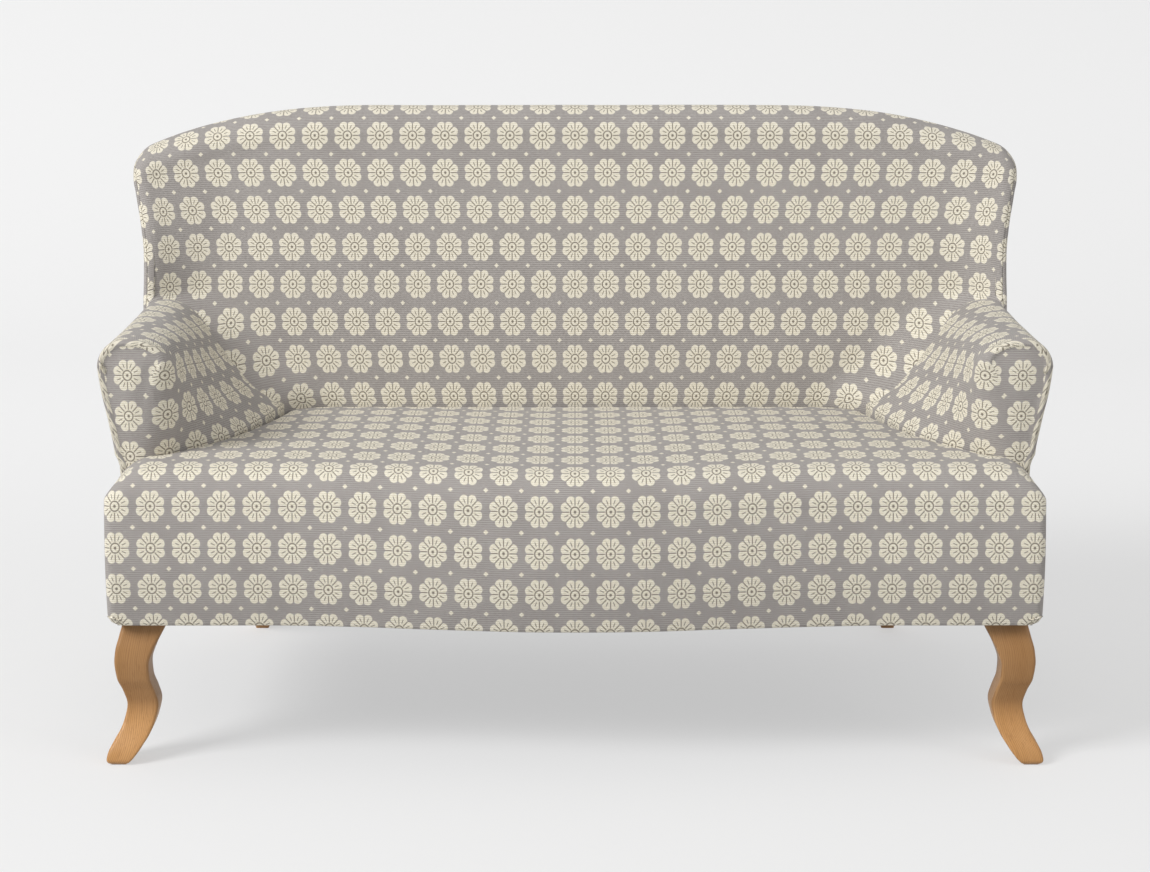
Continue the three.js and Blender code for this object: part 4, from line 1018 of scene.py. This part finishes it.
def wood(name, light, middle, dark, ring_pitch, attribute=None, axis=2, rough=0.42, painted_shade=None):
    """Timber with growth lines and pores along one axis, and painted shade that may darken it with
    height.
    """
    made, tree, shader = material(name)
    if attribute:
        coords = node(tree, "ShaderNodeAttribute", attribute_name=attribute).outputs["Vector"]
    else:
        coords = node(tree, "ShaderNodeTexCoord").outputs["Object"]

    def along(share):
        stretch = [1.0, 1.0, 1.0]
        stretch[axis] = share
        return stretch

    split = node(tree, "ShaderNodeSeparateXYZ", {0: coords})
    across = [split.outputs[i] for i in range(3) if i != axis]
    drift = maths(tree, "MULTIPLY", noise_of(tree, coords, 30.0, 2.0, along(0.16)), DRIFT)
    place_across = maths(tree, "MULTIPLY_ADD", across[1], 0.55, across[0])
    phase = maths(tree, "MULTIPLY_ADD", place_across, 1 / ring_pitch, drift)
    growth = maths(tree, "FRACT", phase)
    late = maths(tree, "POWER", growth, 3.0)
    late = maths(tree, "MULTIPLY", late, maths(tree, "SUBTRACT", 1.0, step_up(tree, growth, 0.94, 1.0)))
    slow = noise_of(tree, coords, 26.0, 3.0, along(0.12))
    pores = noise_of(tree, coords, 700.0, 2.0, along(0.02))
    tone = blend_colour(tree, step_up(tree, slow, 0.32, 0.7), linear(light), linear(middle))
    tone = blend_colour(tree, maths(tree, "MULTIPLY", late, LATE_SHARE), tone, linear(dark))
    pore = step_up(tree, pores, 0.55, 0.68)
    tone = blend_colour(tree, maths(tree, "MULTIPLY", pore, PORE_SHARE), tone, linear(dark))
    # Painted shade: above these heights the colour darkens towards the shade colour, standing for the
    # shade under the sofa's body
    if painted_shade:
        share = step_up(tree, split.outputs[2], PAINTED_SHADE_FROM, PAINTED_SHADE_TO)
        tone = blend_colour(tree, maths(tree, "MULTIPLY", share, PAINTED_SHADE_SHARE), tone, linear(painted_shade))
    tree.links.new(tone, shader.inputs["Base Color"])
    tree.links.new(maths(tree, "MULTIPLY_ADD", pore, PORE_ROUGH, rough), shader.inputs["Roughness"])
    shader.inputs["Specular IOR Level"].default_value = 0.4
    bump_into(tree, shader, maths(tree, "SUBTRACT", 1.0, pore), 0.25, 0.0002)
    return made


def grained(name, low, high, scale, rough, metallic=0.0, stretch=(1, 1, 1), depth=0.0003):
    made, tree, shader = material(name)
    coords = node(tree, "ShaderNodeTexCoord").outputs["Object"]
    grain = noise_of(tree, coords, scale, 4.0, stretch)
    tone = blend_colour(tree, step_up(tree, grain, 0.3, 0.7), linear(low), linear(high))
    tree.links.new(tone, shader.inputs["Base Color"])
    shader.inputs["Metallic"].default_value = metallic
    shader.inputs["Roughness"].default_value = rough
    bump_into(tree, shader, grain, 0.4, depth)
    return made


def wear(obj, made, nodes):
    """Gives a new piece its material and slot, and lets it stand for CAD nodes."""
    obj.data.materials.clear()
    obj.data.materials.append(made)
    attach(obj, "root")
    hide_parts(*nodes)


cloth = print_cloth("printed cloth")
# 7C5A38 is painted shade, laid over the upper part of each leg under the seat
oak = wood("oak", "D2A069", "C08D54", "8F6136", 0.0027, attribute="straight", painted_shade="7C5A38")
lining_cloth = grained("black lining", "1B1B1F", "2A2A2F", 900.0, 0.95)
by_name = {
    "beech": wood("beech", "E2C79D", "D6B686", "BD9663", 0.009, axis=0, rough=0.6),
    "hardboard": grained("hardboard", "6E4E32", "86623F", 260.0, 0.8),
    "steel": grained("spring steel", "7F8388", "A3A7AB", 400.0, 0.38, metallic=1.0),
    "webbing": grained("webbing and felt", "3F3229", "5A4A3E", 500.0, 0.95),
}

# The padded pieces
PADDING = 10
arms = arm_patches()
pieces = [
    ("seat", [seat_surface()], (0, 0, 1), ["seat_cover", "seat_foam"]),
    ("back", [back_surface()], (0, -1, 0.3), ["back_cover", "back_foam"]),
    ("arm_right", arms, (-0.6, -0.4, 1), ["arm_cover_right", "arm_foam_right"]),
    ("arm_left", [flipped(p) for p in arms], (0.6, -0.4, 1), ["arm_cover_left", "arm_foam_left"]),
]
for name, patches, outward, nodes in pieces:
    piece = mesh_of(name, patches, outward, PADDING)
    wear(piece, cloth, nodes)

# The sheets
sides = side_patches()
for side, patches, sign in (("right", sides, 1), ("left", [flipped(p) for p in sides], -1)):
    panel = mesh_of(f"outside_{side}", patches, (sign, 0, 0), CLOTH)
    wear(panel, cloth, [f"side_panel_{side}"])
outside_back = mesh_of("outside_back", [rear_patch()], (0, 1, 0), CLOTH)
wear(outside_back, cloth, ["rear_panel"])

frame_side = BODY_WIDTH / 2 - ROLL_SWELL - PANEL_GAP
LINING_STEPS = 57
LINING_SPACING = 60
lining_front = [(x, bowed(x, FOOT_TURN + CLOTH))
                for x in np.linspace(-frame_side, frame_side, LINING_STEPS)]
lining_rear = rear_y(LEG_HEIGHT) - PANEL_GAP


def leg_gap(x, y, width):
    """The square that the lining leaves round a leg."""
    reach = width / 2 + CLEARANCE
    return [(x - reach, y - reach), (x + reach, y - reach),
            (x + reach, y + reach), (x - reach, y + reach)]


gaps = [leg_gap(side * FRONT_LEG_X, FRONT_LEG_Y, FRONT_LEG_WIDTH) for side in (-1, 1)]
gaps += [leg_gap(side * BACK_LEG_X, BACK_LEG_Y, BACK_LEG_WIDTH) for side in (-1, 1)]
lining = region_patch(lining_front + [(frame_side, lining_rear), (-frame_side, lining_rear)], gaps,
                      LINING_SPACING, lambda x, y: (x, y, LEG_HEIGHT), lambda x, y: (x, y))
dust_cover = mesh_of("underside_lining", [lining], (0, 0, -1), LINING, relief=0.0)
wear(dust_cover, lining_cloth, ["dust_cover"])

# The legs
for side, sign in (("right", 1), ("left", -1)):
    front_leg = leg(f"leg_front_{side}", FRONT_LEG, sign * FRONT_LEG_X, FRONT_LEG_Y, FRONT_LEG_WIDTH,
                    sign * FRONT_REACH, -FRONT_REACH)
    wear(front_leg, oak, [f"front_leg_{side}"])
    back_leg = leg(f"leg_back_{side}", BACK_LEG, sign * BACK_LEG_X, BACK_LEG_Y, BACK_LEG_WIDTH,
                   0, BACK_REACH)
    wear(back_leg, oak, [f"back_leg_{side}"])

# The pieces inside keep their shape and take plain materials
for name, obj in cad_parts.items():
    if name.startswith(("seat_spring", "leg_bolt")):
        look = "steel"
    elif name.startswith(("back_strap", "seat_felt")):
        look = "webbing"
    elif name.startswith("arm_board"):
        look = "hardboard"
    else:
        look = "beech"
    obj.data.materials.clear()
    obj.data.materials.append(by_name[look])

# Floor and backdrop, in one sweep
FLOOR_FRONT, FLOOR_REAR, SWEEP, STAGE_TOP, STAGE_HALF = -9, 3.2, 2.2, 9, 14
STAGE_LIT = 0.38  # share of the stage's look that is its own light, to the camera only
OWN_LIGHT, OWN_BEHIND, OWN_ABOVE = 1.35, 0.15, -0.32  # its strength, and what it gains behind and above
profile = [(FLOOR_FRONT, 0), (FLOOR_REAR, 0)]
for angle in quarter(17)[1:]:
    profile.append((FLOOR_REAR + SWEEP * math.sin(angle), SWEEP * (1 - math.cos(angle))))
profile.append((FLOOR_REAR + SWEEP, STAGE_TOP))
floor = bpy.data.meshes.new("floor")
floor.from_pydata([(x, y, z) for y, z in profile for x in (-STAGE_HALF, STAGE_HALF)], [],
                  [(2 * i, 2 * i + 1, 2 * i + 3, 2 * i + 2) for i in range(len(profile) - 1)])
floor.shade_smooth()
stage = bpy.data.objects.new("floor", floor)
bpy.context.scene.collection.objects.link(stage)
stage_look, tree, shader = material("floor")
shader.inputs["Base Color"].default_value = linear("C4C4C4")
shader.inputs["Roughness"].default_value = 0.95
shader.inputs["Specular IOR Level"].default_value = 0.1
rays = node(tree, "ShaderNodeLightPath")
seen = maths(tree, "MAXIMUM", rays.outputs["Is Camera Ray"], rays.outputs["Is Glossy Ray"])
seen = maths(tree, "MAXIMUM", seen, rays.outputs["Is Transmission Ray"])
place_on = node(tree, "ShaderNodeSeparateXYZ", {0: node(tree, "ShaderNodeTexCoord").outputs["Object"]})
behind = step_up(tree, place_on.outputs[1], 0.2, 2.6)
above = step_up(tree, place_on.outputs[2], 0.2, 3.0)
own_strength = maths(tree, "MULTIPLY_ADD", behind, OWN_BEHIND, OWN_LIGHT)
own_strength = maths(tree, "MULTIPLY_ADD", above, OWN_ABOVE, own_strength)
own = node(tree, "ShaderNodeEmission", {"Color": (1, 1, 1, 1), "Strength": own_strength})
blend = node(tree, "ShaderNodeMixShader", {0: maths(tree, "MULTIPLY", seen, STAGE_LIT)})
tree.links.new(shader.outputs[0], blend.inputs[1])
tree.links.new(own.outputs[0], blend.inputs[2])
tree.links.new(blend.outputs[0], tree.nodes["Material Output"].inputs["Surface"])
stage.data.materials.append(stage_look)

# Light
WORLD_LIGHT = 0.48
AIM = Vector((0, 0, 0.5))
world = bpy.data.worlds.new("studio")
bpy.context.scene.world = world
world.use_nodes = True
world.node_tree.nodes["Background"].inputs[0].default_value = (1, 1, 1, 1)
world.node_tree.nodes["Background"].inputs[1].default_value = WORLD_LIGHT


def lamp(name, at, size, power):
    data = bpy.data.lights.new(name, "AREA")
    data.shape = "RECTANGLE"
    data.size, data.size_y = size
    data.energy = power
    made = bpy.data.objects.new(name, data)
    made.location = at
    made.rotation_euler = (AIM - Vector(at)).to_track_quat("-Z", "Y").to_euler()
    bpy.context.scene.collection.objects.link(made)


lamp("key", (-7.6, -5.2, 7.0), (4.5, 4.0), 960)
lamp("fill", (6.0, -3.8, 3.6), (4.0, 4.0), 90)

# The photograph's camera, solved from its edges
CAMERA_DISTANCE = 4000
CAMERA_HEIGHT = 1342.8
CAMERA_TILT = 0.20585
FOCAL_PIXELS, PICTURE_PIXELS = 2774, 1150
SENSOR = 36
camera_data = bpy.data.cameras.new("camera")
camera_data.sensor_width = SENSOR
camera_data.lens = FOCAL_PIXELS / PICTURE_PIXELS * SENSOR
camera = bpy.data.objects.new("camera", camera_data)
camera.location = (0, (-CAMERA_DISTANCE - SHIFT) * MM, CAMERA_HEIGHT * MM)
camera.rotation_euler = (math.pi / 2 - CAMERA_TILT, 0, 0)
bpy.context.scene.collection.objects.link(camera)
bpy.context.scene.camera = camera
bpy.context.scene.view_settings.view_transform = "Standard"
